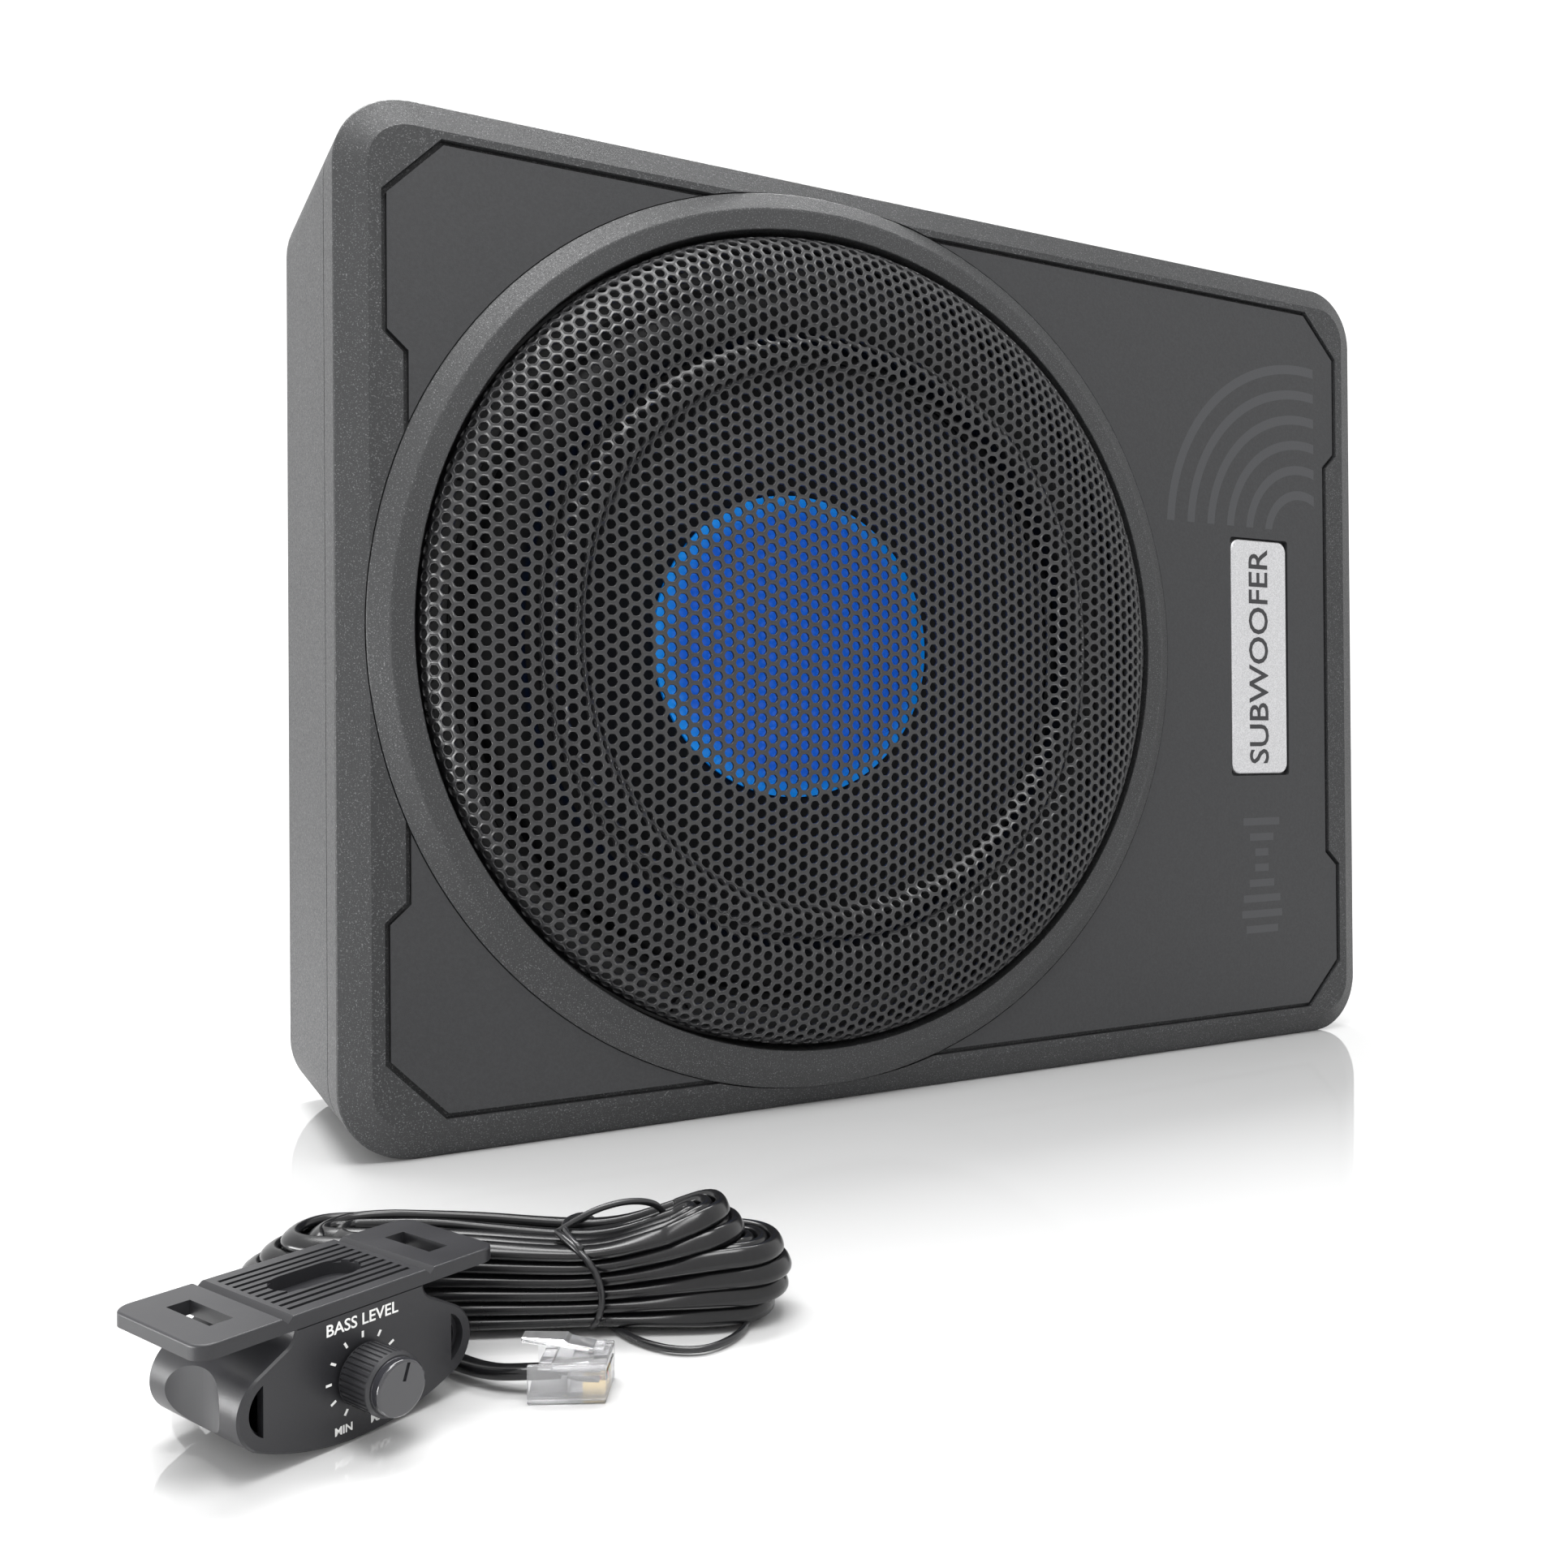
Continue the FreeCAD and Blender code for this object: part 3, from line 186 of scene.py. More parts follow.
def splinePoints(name, points, steps=6):
    curve = bpy.data.curves.new(name, "CURVE")
    curve.dimensions = "3D"
    line = curve.splines.new("NURBS")
    line.points.add(len(points) - 1)
    for target, point in zip(line.points, points):
        target.co = (*point, 1.0)
    line.order_u = splineOrder
    line.use_endpoint_u = True
    line.resolution_u = steps
    holder = bpy.data.objects.new(name + "Line", curve)
    scene.collection.objects.link(holder)
    mesh = bpy.data.meshes.new_from_object(holder)
    path = [v.co.copy() for v in mesh.vertices]
    bpy.data.objects.remove(holder)
    bpy.data.meshes.remove(mesh)
    clean = [path[0]]
    for point in path[1:]:
        if (point - clean[-1]).length > nearby:
            clean.append(point)
    return clean


def directionAt(path, i):
    return (path[min(i + 1, len(path) - 1)] - path[max(i - 1, 0)]).normalized()


def tubeAlong(path, outline, wides):
    # one ring of the outline at each point; wides gives the direction of the section's width
    points, faces = [], []
    count = len(outline)
    for i, point in enumerate(path):
        along = directionAt(path, i)
        wide = (wides[i] - along * wides[i].dot(along)).normalized()
        thin = along.cross(wide)
        points += [point + wide * a + thin * b for a, b in outline]
    for i in range(len(path) - 1):
        for j in range(count):
            k = (j + 1) % count
            faces.append((i * count + j, i * count + k, (i + 1) * count + k, (i + 1) * count + j))
    faces.append(tuple(reversed(range(count))))
    faces.append(tuple(range(len(points) - count, len(points))))
    return points, faces


def roundOutline(radius, sides=10):
    return [(radius * math.cos(2 * math.pi * i / sides), radius * math.sin(2 * math.pi * i / sides))
            for i in range(sides)]


# Flat cable: lead from the level control, hank, and tail to the plug, all one spline

cableSetup = {
    "width": 3.6, "thickness": 2.2, "place": (-158.8, -158.95), "turn": -28.0, "seed": 5,
    "waist": 7.4, "levels": 6, "layers": 3,
    "waistDepth": (1.9, 4.9, 7.9), "endDepth": (3.4, 6.0, 8.6), "waistFloor": 2.5, "waistPitch": 2.27,
    "rightFloor": 2.6, "rightPitch": 3.4, "rightEase": 22.0, "rightRun": 12.0, "rightStray": 0.5,
    "leftFloor": 2.6, "leftPitch": 2.7, "leftEase": 38.0, "leftRun": 16.0, "leftStray": 0.8,
    "rightReach": (36.8, 38.6, 39.0, 37.6, 31.0, 28.2),
    "leftReach": (-50.0, -54.0, -55.5, -53.0, -49.0, -44.5),
    "stations": (-16.0, -3.0), "tuck": 2.2, "wander": 0.22, "wanderUp": 0.7,
    "loopShares": (0.3, 0.5, 0.7), "loopSweep": 1.25, "loopLength": 1.15, "loopWidth": 1.1,
    "leadFlat": (1.6, 0.055), "tailFlat": (1.8, 0.03)}
leadRoute = [(-49.6, 32.55, 8.0), (-56.2, 27.4, 7.8), (-60.8, 19.8, 5.6), (-60.4, 11.0, 3.0),
             (-55.9, 3.4, 2.0), (-48.4, -1.6, 2.0), (-39.6, -2.8, 2.0)]
tailRoute = [(-38.0, 7.0, 2.0), (-29.5, 11.5, 2.0), (-21.5, 17.0, 2.0), (-14.0, 23.5, 2.0),
             (-7.0, 28.9, 2.3), (-0.5, 30.9, 3.1), (5.2, 31.0, 3.3)]
intoHank = [(-28.0, -0.4, 2.2), (-18.0, 1.4, 2.7), (-10.0, 1.8, 3.0)]
outOfHank = [(-45.0, 4.4, 2.2)]


def clamped(value):
    return max(0.0, min(1.0, value))


def fromHank(u, v, z):
    turn = math.radians(cableSetup["turn"])
    x, y = cableSetup["place"]
    return Vector((x + u * math.cos(turn) + v * math.sin(turn),
                   y + u * math.sin(turn) - v * math.cos(turn), z)) * mm


def easeShare(u):
    # 0 at the tied waist, 1 where the turns have fanned out
    s = cableSetup
    away = u - s["waist"]
    share = min(1.0, -away / s["leftEase"] if away < 0 else away / s["rightEase"])
    return share * share * (3 - 2 * share)


def hankHeight(u, level):
    s = cableSetup
    side = "left" if u < s["waist"] else "right"
    end = s[side + "Floor"] + s[side + "Pitch"] * level
    waist = s["waistFloor"] + s["waistPitch"] * level
    return waist + (end - waist) * easeShare(u)


def hankDepth(u, layer):
    near, far = cableSetup["waistDepth"][layer], cableSetup["endDepth"][layer]
    return near + (far - near) * easeShare(u)


def hankLean(u):
    # the oval section leans just enough for the turns above one another to touch
    pitch = hankHeight(u, 1) - hankHeight(u, 0)
    a, b = cableSetup["width"] / 2, cableSetup["thickness"] / 2
    share = (pitch * pitch / 4 - b * b) / (a * a - b * b)
    return math.acos(math.sqrt(clamped(share)))


def hankTurns():
    # winding order of the turns, inner layer first: (layer, level)
    s = cableSetup
    turns = []
    for layer in range(s["layers"]):
        levels = range(s["levels"])
        turns += [(layer, level) for level in (reversed(levels) if layer % 2 else levels)]
    return turns


def hankPoints():
    s = cableSetup
    random.seed(s["seed"])
    points = []
    turns = hankTurns()
    for i, (layer, level) in enumerate(turns):
        nextLayer, nextLevel = turns[min(i + 1, len(turns) - 1)]
        tuck = s["tuck"] * (s["layers"] - 1 - layer)
        right = s["rightReach"][level] - tuck + random.uniform(-s["rightStray"], s["rightStray"])
        left = s["leftReach"][level] + tuck + random.uniform(-s["leftStray"], s["leftStray"])
        rightDepth, leftDepth = hankDepth(right, layer), hankDepth(left, layer)
        rightBend, leftBend = right - rightDepth, left + leftDepth
        front = [leftBend, left + s["leftRun"], *s["stations"],
                 s["waist"], s["waist"] + s["rightRun"], rightBend]
        wander = [random.uniform(-s["wander"], s["wander"]) for each in front]
        back = front[::-1]
        if i == 0:
            # the lead joins the first turn at the last station before the tie
            front, wander = front[3:], wander[3:]
        for u, away in zip(front, wander):
            points.append((u, hankDepth(u, layer) + away, hankHeight(u, level) + away * s["wanderUp"]))
        for share in s["loopShares"]:
            angle = math.pi * (0.5 - share) * s["loopSweep"]
            points.append((rightBend + s["loopLength"] * rightDepth * math.cos(angle),
                           s["loopWidth"] * rightDepth * math.sin(angle), hankHeight(right, level)))
        for u, away in zip(back, wander + wander[:len(back) - len(wander)]):
            climb = clamped((right - u) / (right - left))
            height = hankHeight(u, level) * (1 - climb) + hankHeight(u, nextLevel) * climb
            points.append((u, -hankDepth(u, layer) - away, height + away * s["wanderUp"]))
        for share in s["loopShares"]:
            angle = math.pi * (share - 0.5) * s["loopSweep"]
            bow = leftDepth + (hankDepth(left, nextLayer) - leftDepth) * share
            points.append((leftBend - s["loopLength"] * leftDepth * math.cos(angle),
                           s["loopWidth"] * bow * math.sin(angle), hankHeight(left, nextLevel)))
    return points


def flatOutline(width, thickness, sides=20, fullness=2.5):
    # oval section with fuller shoulders than an ellipse
    loop = []
    for i in range(sides):
        c, d = math.cos(2 * math.pi * i / sides), math.sin(2 * math.pi * i / sides)
        loop.append((math.copysign(abs(c) ** (2 / fullness), c) * width / 2 * mm,
                     math.copysign(abs(d) ** (2 / fullness), d) * thickness / 2 * mm))
    return loop


def addCable(paint):
    s = cableSetup
    route = leadRoute + intoHank + hankPoints() + outOfHank + tailRoute
    path = splinePoints("cable", [fromHank(*p) for p in route], steps=5)
    turn = math.radians(s["turn"])
    upright = Vector((0, 0, 1))
    wides, length = [], [0.0]
    for a, b in zip(path, path[1:]):
        length.append(length[-1] + (b - a).length)
    total = length[-1]
    leadGain, leadSpan = s["leadFlat"]
    tailGain, tailSpan = s["tailFlat"]
    for i, point in enumerate(path):
        outward = directionAt(path, i).cross(upright).normalized()
        x, y = (point.x / mm - s["place"][0], point.y / mm - s["place"][1])
        lean = hankLean(x * math.cos(turn) + y * math.sin(turn))
        lead = clamped(leadGain - length[i] / leadSpan)
        tail = clamped(tailGain - (total - length[i]) / tailSpan)
        flat = max(lead, tail)
        angle = lean * (1 - flat) + math.pi / 2 * flat
        wides.append(upright * math.cos(angle) - outward * math.sin(angle))
    points, faces = tubeAlong(path, flatOutline(s["width"], s["thickness"]), wides)
    cable = addMesh("levelCable", points, faces, paint, "level_control")
    print("cable length %.3f m, %d path points, lowest %.2f mm" % (
        total, len(path), min(p.z for p in points) / mm))
    return cable, path, total


# Wire tie round the waist, with its loose upper bow and the bow that lies on the floor

tieSetup = {
    "radius": 0.62, "steep": 0.8,
    "ring": ((-0.6, 4.5, 16.8), (3.6, 9.2, 15.6), (7.4, 11.2, 12.2), (8.7, 11.4, 7.6), (7.8, 10.8, 3.2),
             (5.6, 8.0, 0.8), (4.6, 0.0, 0.7), (4.8, -8.0, 0.8), (5.6, -10.8, 4.0), (5.4, -11.2, 11.0),
             (2.6, -8.8, 16.0), (-0.4, -1.0, 17.1), (1.2, 6.0, 16.8), (4.6, 9.4, 15.2)),
    "upper": ((-1.0, 3.2, 16.2), (0.2, 3.0, 17.0), (2.4, 2.4, 18.2), (5.4, 1.6, 19.6), (8.4, 0.8, 20.4),
              (11.4, -0.2, 20.7), (14.6, -1.6, 20.2), (17.0, -3.4, 18.6), (18.0, -5.0, 16.0)),
    "lower": ((7.0, 4.0, 1.0), (10.5, 8.2, 0.9), (13.4, 12.0, 0.8), (17.4, 15.6, 0.8), (22.0, 18.0, 0.8),
              (27.0, 18.0, 0.8), (30.8, 14.6, 0.8), (33.4, 9.4, 0.9), (34.0, 4.0, 1.0))}


def addTie(paint):
    s = tieSetup
    points, faces = [], []
    for part in ("ring", "upper", "lower"):
        path = splinePoints("tie" + part, [fromHank(*p) for p in s[part]], steps=5)
        wides = [Vector((0, 0, 1)) if abs((b - a).normalized().z) < s["steep"] else Vector((1, 0, 0))
                 for a, b in zip(path, path[1:] + [path[-1] * 2 - path[-2]])]
        tube, sides = tubeAlong(path, roundOutline(s["radius"] * mm), wides)
        start = len(points)
        points += tube
        faces += [tuple(start + k for k in side) for side in sides]
    tie = addMesh("tieWire", points, faces, paint, "level_control")
    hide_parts("cable_tie")
    return tie


# Clear telephone plugs with their latch, gold contacts and the wires inside

plugSetup = {
    "length": 12.4, "width": 9.65, "height": 6.6, "wall": 0.85, "wireRadius": 0.42, "contactHalf": 0.16,
    "loosePlace": (0.5, 31.0, 3.3), "seatedReach": 4.5,
    "wires": ((-1.53, "black wire"), (-0.51, "red wire"), (0.51, "green wire"), (1.53, "yellow wire"))}


def addBlocks(name, blocks, turn, paint, body, bevel=0.18):
    # each block is given by its low and high corner, and its edges are softened
    shape = bmesh.new()
    for low, high in blocks:
        size = Vector(high) - Vector(low)
        middle = (Vector(high) + Vector(low)) / 2
        bmesh.ops.create_cube(shape, size=1.0,
                              matrix=Matrix.Translation(middle) @ Matrix.Diagonal((*size, 1.0)))
    bmesh.ops.bevel(shape, geom=list(shape.edges), offset=bevel, segments=2, profile=0.7, affect="EDGES",
                    clamp_overlap=True)
    bmesh.ops.transform(shape, matrix=turn @ Matrix.Scale(mm, 4), verts=shape.verts)
    mesh = bpy.data.meshes.new(name)
    shape.to_mesh(mesh)
    shape.free()
    mesh.shade_smooth()
    mesh.materials.append(paint.material)
    piece = bpy.data.objects.new(name, mesh)
    scene.collection.objects.link(piece)
    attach(piece, body)
    return piece


def addPlug(name, turn, seated, paints):
    # x runs from the cable entry to the nose, the latch is on top; the blocks are the floor, two side
    # walls, the two halves of the nose above and below the wires, the cable clamp and the latch's root
    s = plugSetup
    length, half, top, wall = s["length"], s["width"] / 2, s["height"] / 2, s["wall"]
    inner = half - wall
    blocks = [((0, -half, -top), (length, half, -top + wall)),
              ((0, -half, -top + 0.3), (length, -inner, top - 0.6)),
              ((0, inner, -top + 0.3), (length, half, top - 0.6)),
              ((6.2, -inner - 0.1, -top + 0.4), (length, inner + 0.1, 0.9)),
              ((3.6, -inner - 0.1, 1.5), (length, inner + 0.1, top - 0.6)),
              ((1.5, -2.9, 1.2), (3.9, 2.9, 2.5)),
              ((length - 2.3, -2.2, top - 0.8), (length, 2.2, top))]
    if not seated:
        blocks += [((length - 3.2, -1.9, top - 0.2), (length - 0.7, 1.9, top + 0.75))]
    shell = addBlocks(name + "Body", blocks, turn, paints["clear"], "level_control")
    pieces = [shell]
    if not seated:
        arm = [(length - 2.4, top + 0.1, 1.9), (length - 2.4, top + 0.8, 1.9), (6.0, top + 1.7, 1.9),
               (5.4, top + 2.2, 1.9), (-1.6, top + 2.6, 1.5), (-1.6, top + 1.8, 1.5), (5.4, top + 0.9, 1.9)]
        points = [turn @ (Vector((x, side * y, z)) * mm) for side in (-1, 1) for x, z, y in arm]
        count = len(arm)
        faces = [tuple(range(count)), tuple(reversed(range(count, 2 * count)))]
        faces += [(k, k + count, (k + 1) % count + count, (k + 1) % count) for k in range(count)]
        latch = addMesh(name + "Latch", points, [tuple(reversed(f)) for f in faces], paints["clear"],
                        "level_control", smooth=False)
        soften = latch.modifiers.new("soften", "BEVEL")
        soften.width, soften.segments = 0.16 * mm, 2
        pieces.append(latch)
    thin = s["contactHalf"]
    contacts = [((8.4, y - thin, -top + 0.15), (length - 0.3, y + thin, -top + 2.6))
                for y, wire in s["wires"]]
    pieces.append(addBlocks(name + "Contacts", contacts, turn, paints["gold"], "level_control", 0.05))
    for y, wire in s["wires"]:
        route = ((4.6, y * 0.75, 0.1), (6.2, y * 0.9, 0.0), (8.0, y, -0.5), (10.8, y, -0.6))
        path = splinePoints(wire, [turn @ (Vector(p) * mm) for p in route])
        wides = [turn.to_3x3() @ Vector((0, 0, 1))] * len(path)
        tube, sides = tubeAlong(path, roundOutline(s["wireRadius"] * mm, 8), wides)
        pieceName = name + wire.title().replace(" ", "")
        pieces.append(addMesh(pieceName, tube, sides, paints[wire], "level_control"))
    return pieces


def addPlugs(paints):
    s = plugSetup
    turn = math.radians(cableSetup["turn"])
    loose = Matrix.Translation(fromHank(*s["loosePlace"])) @ Matrix.Rotation(turn, 4, "Z")
    x, z, depth = controlSetup["jack"]
    seated = fromControl() @ Matrix.Translation(Vector((x, depth + s["seatedReach"], z)) * mm)
    seated = seated @ Matrix.Rotation(-math.pi / 2, 4, "Z")
    pieces = addPlug("loosePlug", loose, False, paints) + addPlug("seatedPlug", seated, True, paints)
    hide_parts("cable_plugs")
    return pieces


# Level control: legend and scale

controlSetup = {
    "place": (-199.5, -188.5), "turn": 24.0, "knob": 9.6, "jack": (-7.0, 8.0, 25.0), "proud": 0.03,
    "ticks": 11, "tickStart": 240.0, "tickStep": 30.0, "tickRadius": 5.75,
    "tickLength": 0.95, "tickWidth": 0.36, "tickThickness": 0.06,
    "words": (("BASS LEVEL", 0.0, 17.55, 1.75), ("MIN", -3.3, 2.2, 1.2), ("MAX", 3.1, 2.0, 1.2))}
letterSize = 1.42      # size of the lettering for a capital of height 1


def fromControl():
    s = controlSetup
    return (Matrix.Translation(Vector((*s["place"], 0)) * mm)
            @ Matrix.Rotation(math.radians(s["turn"]), 4, "Z"))


def wordMesh(text, height, thickness, weight):
    # flat lettering in the xy plane, centred, faces +z
    curve = bpy.data.curves.new(text, "FONT")
    curve.body = text
    curve.align_x, curve.align_y = "CENTER", "CENTER"
    curve.size = height * letterSize
    curve.offset = weight
    curve.extrude = thickness / 2
    curve.resolution_u = 3
    holder = bpy.data.objects.new(text, curve)
    scene.collection.objects.link(holder)
    mesh = bpy.data.meshes.new_from_object(holder)
    bpy.data.objects.remove(holder)
    return mesh


def addWords(name, words, turn, paint, body, thickness=0.06, weight=0.02):
    # words: text, across, up, height in mm, laid on the plane that turn gives (x across, y up, z out)
    shape = bmesh.new()
    for text, across, up, height in words:
        mesh = wordMesh(text, height, thickness, weight)
        mesh.transform(Matrix.Translation((across, up, 0)))
        shape.from_mesh(mesh)
        bpy.data.meshes.remove(mesh)
    bmesh.ops.transform(shape, matrix=turn @ Matrix.Scale(mm, 4), verts=shape.verts)
    mesh = bpy.data.meshes.new(name)
    shape.to_mesh(mesh)
    shape.free()
    mesh.materials.clear()
    mesh.materials.append(paint.material)
    piece = bpy.data.objects.new(name, mesh)
    scene.collection.objects.link(piece)
    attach(piece, body)
    return piece


def addControlMarks(paint):
    s = controlSetup
    face = fromControl() @ Matrix.Translation(Vector((0, -s["proud"], 0)) * mm)
    face = face @ Matrix.Rotation(math.pi / 2, 4, "X")
    addWords("levelLegend", s["words"], face, paint, "level_control", 0.05, 0.03)
    points, faces = [], []
    half = s["tickThickness"] / 2
    for i in range(s["ticks"]):
        angle = math.radians(s["tickStart"] - s["tickStep"] * i)
        out = Vector((math.cos(angle), 0, math.sin(angle)))
        side = Vector((-math.sin(angle), 0, math.cos(angle))) * (s["tickWidth"] / 2)
        middle = Vector((0, -s["proud"], s["knob"])) + out * s["tickRadius"]
        ends = [middle - out * (s["tickLength"] / 2), middle + out * (s["tickLength"] / 2)]
        start = len(points)
        for y in (-half, half):
            for end in ends:
                points += [fromControl() @ ((end + side + Vector((0, y, 0))) * mm),
                           fromControl() @ ((end - side + Vector((0, y, 0))) * mm)]
        faces += [tuple(start + k for k in corners) for corners in (
            (0, 1, 3, 2), (4, 6, 7, 5), (0, 4, 5, 1), (2, 3, 7, 6), (0, 2, 6, 4), (1, 5, 7, 3))]
    addMesh("levelScale", points, faces, paint, "level_control", smooth=False)


# Legends of the panel in the right end (word, across, up, height) and of the badge

panelWords = (("GAIN", -3.0, 159.3, 1.9), ("CROSSOVER", -3.0, 181.3, 1.9), ("BASS BOOST", -3.0, 203.2, 1.9),
              ("PHASE", -3.0, 222.0, 1.9), ("0", -8.5, 211.8, 1.6), ("180", -9.3, 216.4, 1.6),
              ("LINE IN", 17.0, 176.6, 1.9), ("L", 24.6, 150.0, 2.0), ("R", 24.6, 168.0, 2.0),
              ("REMOTE", 17.0, 201.4, 1.9), ("SPEAKER IN", 17.0, 136.4, 1.9), ("ON", -8.6, 124.0, 1.5),
              ("PROTECT", -11.0, 132.0, 1.5), ("FUSES", 7.0, 109.8, 1.9), ("POWER", 7.0, 87.2, 1.9),
              ("+12V", -6.2, 78.0, 1.6), ("REM", -6.2, 66.0, 1.6), ("GND", -6.2, 54.0, 1.6))
knobScale = {"heights": (150.0, 172.0, 194.0), "across": -3.0, "height": 1.2,
             "words": (("MIN", -6.4, -6.9), ("MAX", 6.4, -6.9))}
badgeSetup = {"word": "SUBWOOFER", "height": 8.9}


def addBadgeWord(paint):
    low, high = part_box("badge")
    x, z = (low[0] + high[0]) / 2, (low[2] + high[2]) / 2
    face = Matrix.Translation((x, low[1] - printGap, z)) @ Matrix.Rotation(math.pi / 2, 4, "X")
    face = face @ Matrix.Rotation(math.pi / 2, 4, "Z")
    words = ((badgeSetup["word"], 0, 0, badgeSetup["height"]),)
    addWords("badgeWord", words, face, paint, "enclosure", 0.08, 0.12)


# Perforated dome of the grille

grilleSetup = {
    "centre": (-42.4, 135.0), "pitch": 3.8, "hole": 1.36, "rim": 1.56, "rimRise": 0.16,
    "flare": 0.18, "flareRise": 0.03, "lip": 0.05, "lipShare": 0.5, "boreDrop": -0.1,
    "sides": 12, "squareness": 0.035, "plainEdge": 1.9, "overhang": 0.45, "spare": 1.2, "grid": 50,
    "sheet": 0.8, "foot": -36.0, "footMatch": 0.01,
    "profile": ((0, -54.3), (30, -53.9), (55, -52.9), (70, -51.7), (74.6, -51.0), (76.2, -51.5),
                (78.6, -54.1), (80.0, -55.0), (82.0, -55.04), (84.6, -54.7), (86.2, -53.3), (87.2, -53.0),
                (88.3, -53.5), (89.8, -54.6), (92.5, -54.75), (98, -54.2), (104, -53.0), (109, -51.3),
                (112.6, -49.5), (115.0, -47.5), (116.4, -45.4), (117.1, -43.2), (117.2, -41.0))}


def sheetLengths():
    # distance along the pressed sheet from its middle to each point of the profile
    profile = grilleSetup["profile"]
    lengths = [0.0]
    for (r0, y0), (r1, y1) in zip(profile, profile[1:]):
        lengths.append(lengths[-1] + math.hypot(r1 - r0, y1 - y0))
    return lengths


def sheetPlace(lengths, along):
    # radius and height on the dome, with the direction of the sheet there
    profile = grilleSetup["profile"]
    for i in range(len(profile) - 1):
        if along <= lengths[i + 1] or i == len(profile) - 2:
            (r0, y0), (r1, y1) = profile[i], profile[i + 1]
            span = lengths[i + 1] - lengths[i]
            share = (along - lengths[i]) / span
            return r0 + (r1 - r0) * share, y0 + (y1 - y0) * share, (r1 - r0) / span, (y1 - y0) / span


def addGrille(paint):
    s = grilleSetup
    centreX, centreZ = s["centre"]
    lengths = sheetLengths()
    edge = lengths[-1]
    points, faces, shared = [], [], {}

    def onDome(x, z, proud=0.0):
        flat = max(math.hypot(x, z), 1e-6)
        radius, height, dr, dy = sheetPlace(lengths, flat)
        away = (radius + proud * dy) / flat
        return (centreX + x * away) * mm, (height - proud * dr) * mm, (centreZ + z * away) * mm

    def corner(x, z):
        flat = math.hypot(x, z)
        if flat > edge:
            x, z = x * edge / flat, z * edge / flat
        key = (round(x * s["grid"]), round(z * s["grid"]))
        if key not in shared:
            shared[key] = len(points)
            points.append(onDome(x, z))
        return shared[key]

    side = s["pitch"] / math.sqrt(3)
    sides = s["sides"]
    # radius and height of the rings round one hole: flare, rim, lip, and the top and foot of the bore
    holeRings = ((s["rim"] + s["flare"], s["flareRise"]), (s["rim"], s["rimRise"]),
                 (s["hole"] + s["lip"], s["rimRise"] * s["lipShare"]), (s["hole"], s["boreDrop"]),
                 (s["hole"], -s["sheet"]))
    reach = int(edge / s["pitch"] * s["spare"]) + 2
    for column in range(-reach, reach + 1):
        for row in range(-reach, reach + 1):
            x = column * s["pitch"] * math.sqrt(3) / 2
            z = (row + (0.5 if column % 2 else 0.0)) * s["pitch"]
            radius = math.hypot(x, z)
            if radius > edge + s["pitch"] * s["overhang"]:
                continue
            loop = []
            for k in range(6):
                a0, a1 = math.radians(60 * k), math.radians(60 * k + 60)
                x0, z0 = side * math.cos(a0), side * math.sin(a0)
                x1, z1 = side * math.cos(a1), side * math.sin(a1)
                loop.append(corner(x + x0, z + z0))
                loop.append(corner(x + (x0 + x1) / 2, z + (z0 + z1) / 2))
            if radius > edge - s["plainEdge"]:
                kept = [p for i, p in enumerate(loop) if p != loop[i - 1]]
                if len(set(kept)) > 2:
                    faces.append(tuple(reversed(kept)))
                continue
            rings = []
            for size, proud in holeRings:
                start = len(points)
                for k in range(sides):
                    angle = math.radians(360 / sides * k)
                    wide = size * (1 + s["squareness"] * math.cos(6 * angle))
                    points.append(onDome(x + wide * math.cos(angle), z + wide * math.sin(angle), proud))
                rings.append(list(range(start, start + sides)))
            for outer, inner in zip([loop] + rings, rings):
                for k in range(sides):
                    n = (k + 1) % sides
                    faces.append((outer[n], outer[k], inner[k], inner[n]))
    # plain foot below the last holes
    rimRadius, rimHeight = s["profile"][-1]
    turnOf = lambda p: math.atan2(points[p][2] / mm - centreZ, points[p][0] / mm - centreX)
    border = [p for p in set(shared.values()) if abs(points[p][1] / mm - rimHeight) < s["footMatch"]]
    border.sort(key=turnOf)
    previous = border
    for r in (rimRadius, rimRadius - s["sheet"]):
        start = len(points)
        for p in border:
            x, z = centreX + r * math.cos(turnOf(p)), centreZ + r * math.sin(turnOf(p))
            points.append((x * mm, s["foot"] * mm, z * mm))
        current = list(range(start, start + len(border)))
        for k in range(len(border)):
            n = (k + 1) % len(border)
            faces.append((previous[k], previous[n], current[n], current[k]))
        previous = current
    grille = addMesh("grilleMesh", points, faces, paint, "enclosure")
    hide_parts("grille")
    print("grille", len(faces), "faces")
    return grille


def addPanelWords(paint):
    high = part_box("control_panel")[1]
    face = Matrix.Translation((high[0] + printGap, 0, 0)) @ Matrix.Rotation(math.pi / 2, 4, "Z")
    face = face @ Matrix.Rotation(math.pi / 2, 4, "X")
    s = knobScale
    scale = tuple((word, s["across"] + y, height + z, s["height"])
                  for height in s["heights"] for word, y, z in s["words"])
    addWords("panelLegend", panelWords + scale, face, paint, "enclosure")


# Materials

# the speck entries set the bright specks painted into the colour as glints; the patches are random tone
castSetup = {"fine": 0.22, "speck": 0.34, "glintSpecks": (0.60, 0.72), "glintShare": 0.8, "smoother": 0.12,
             "patches": 14.0, "patchShare": 0.05, "relief": 0.16}


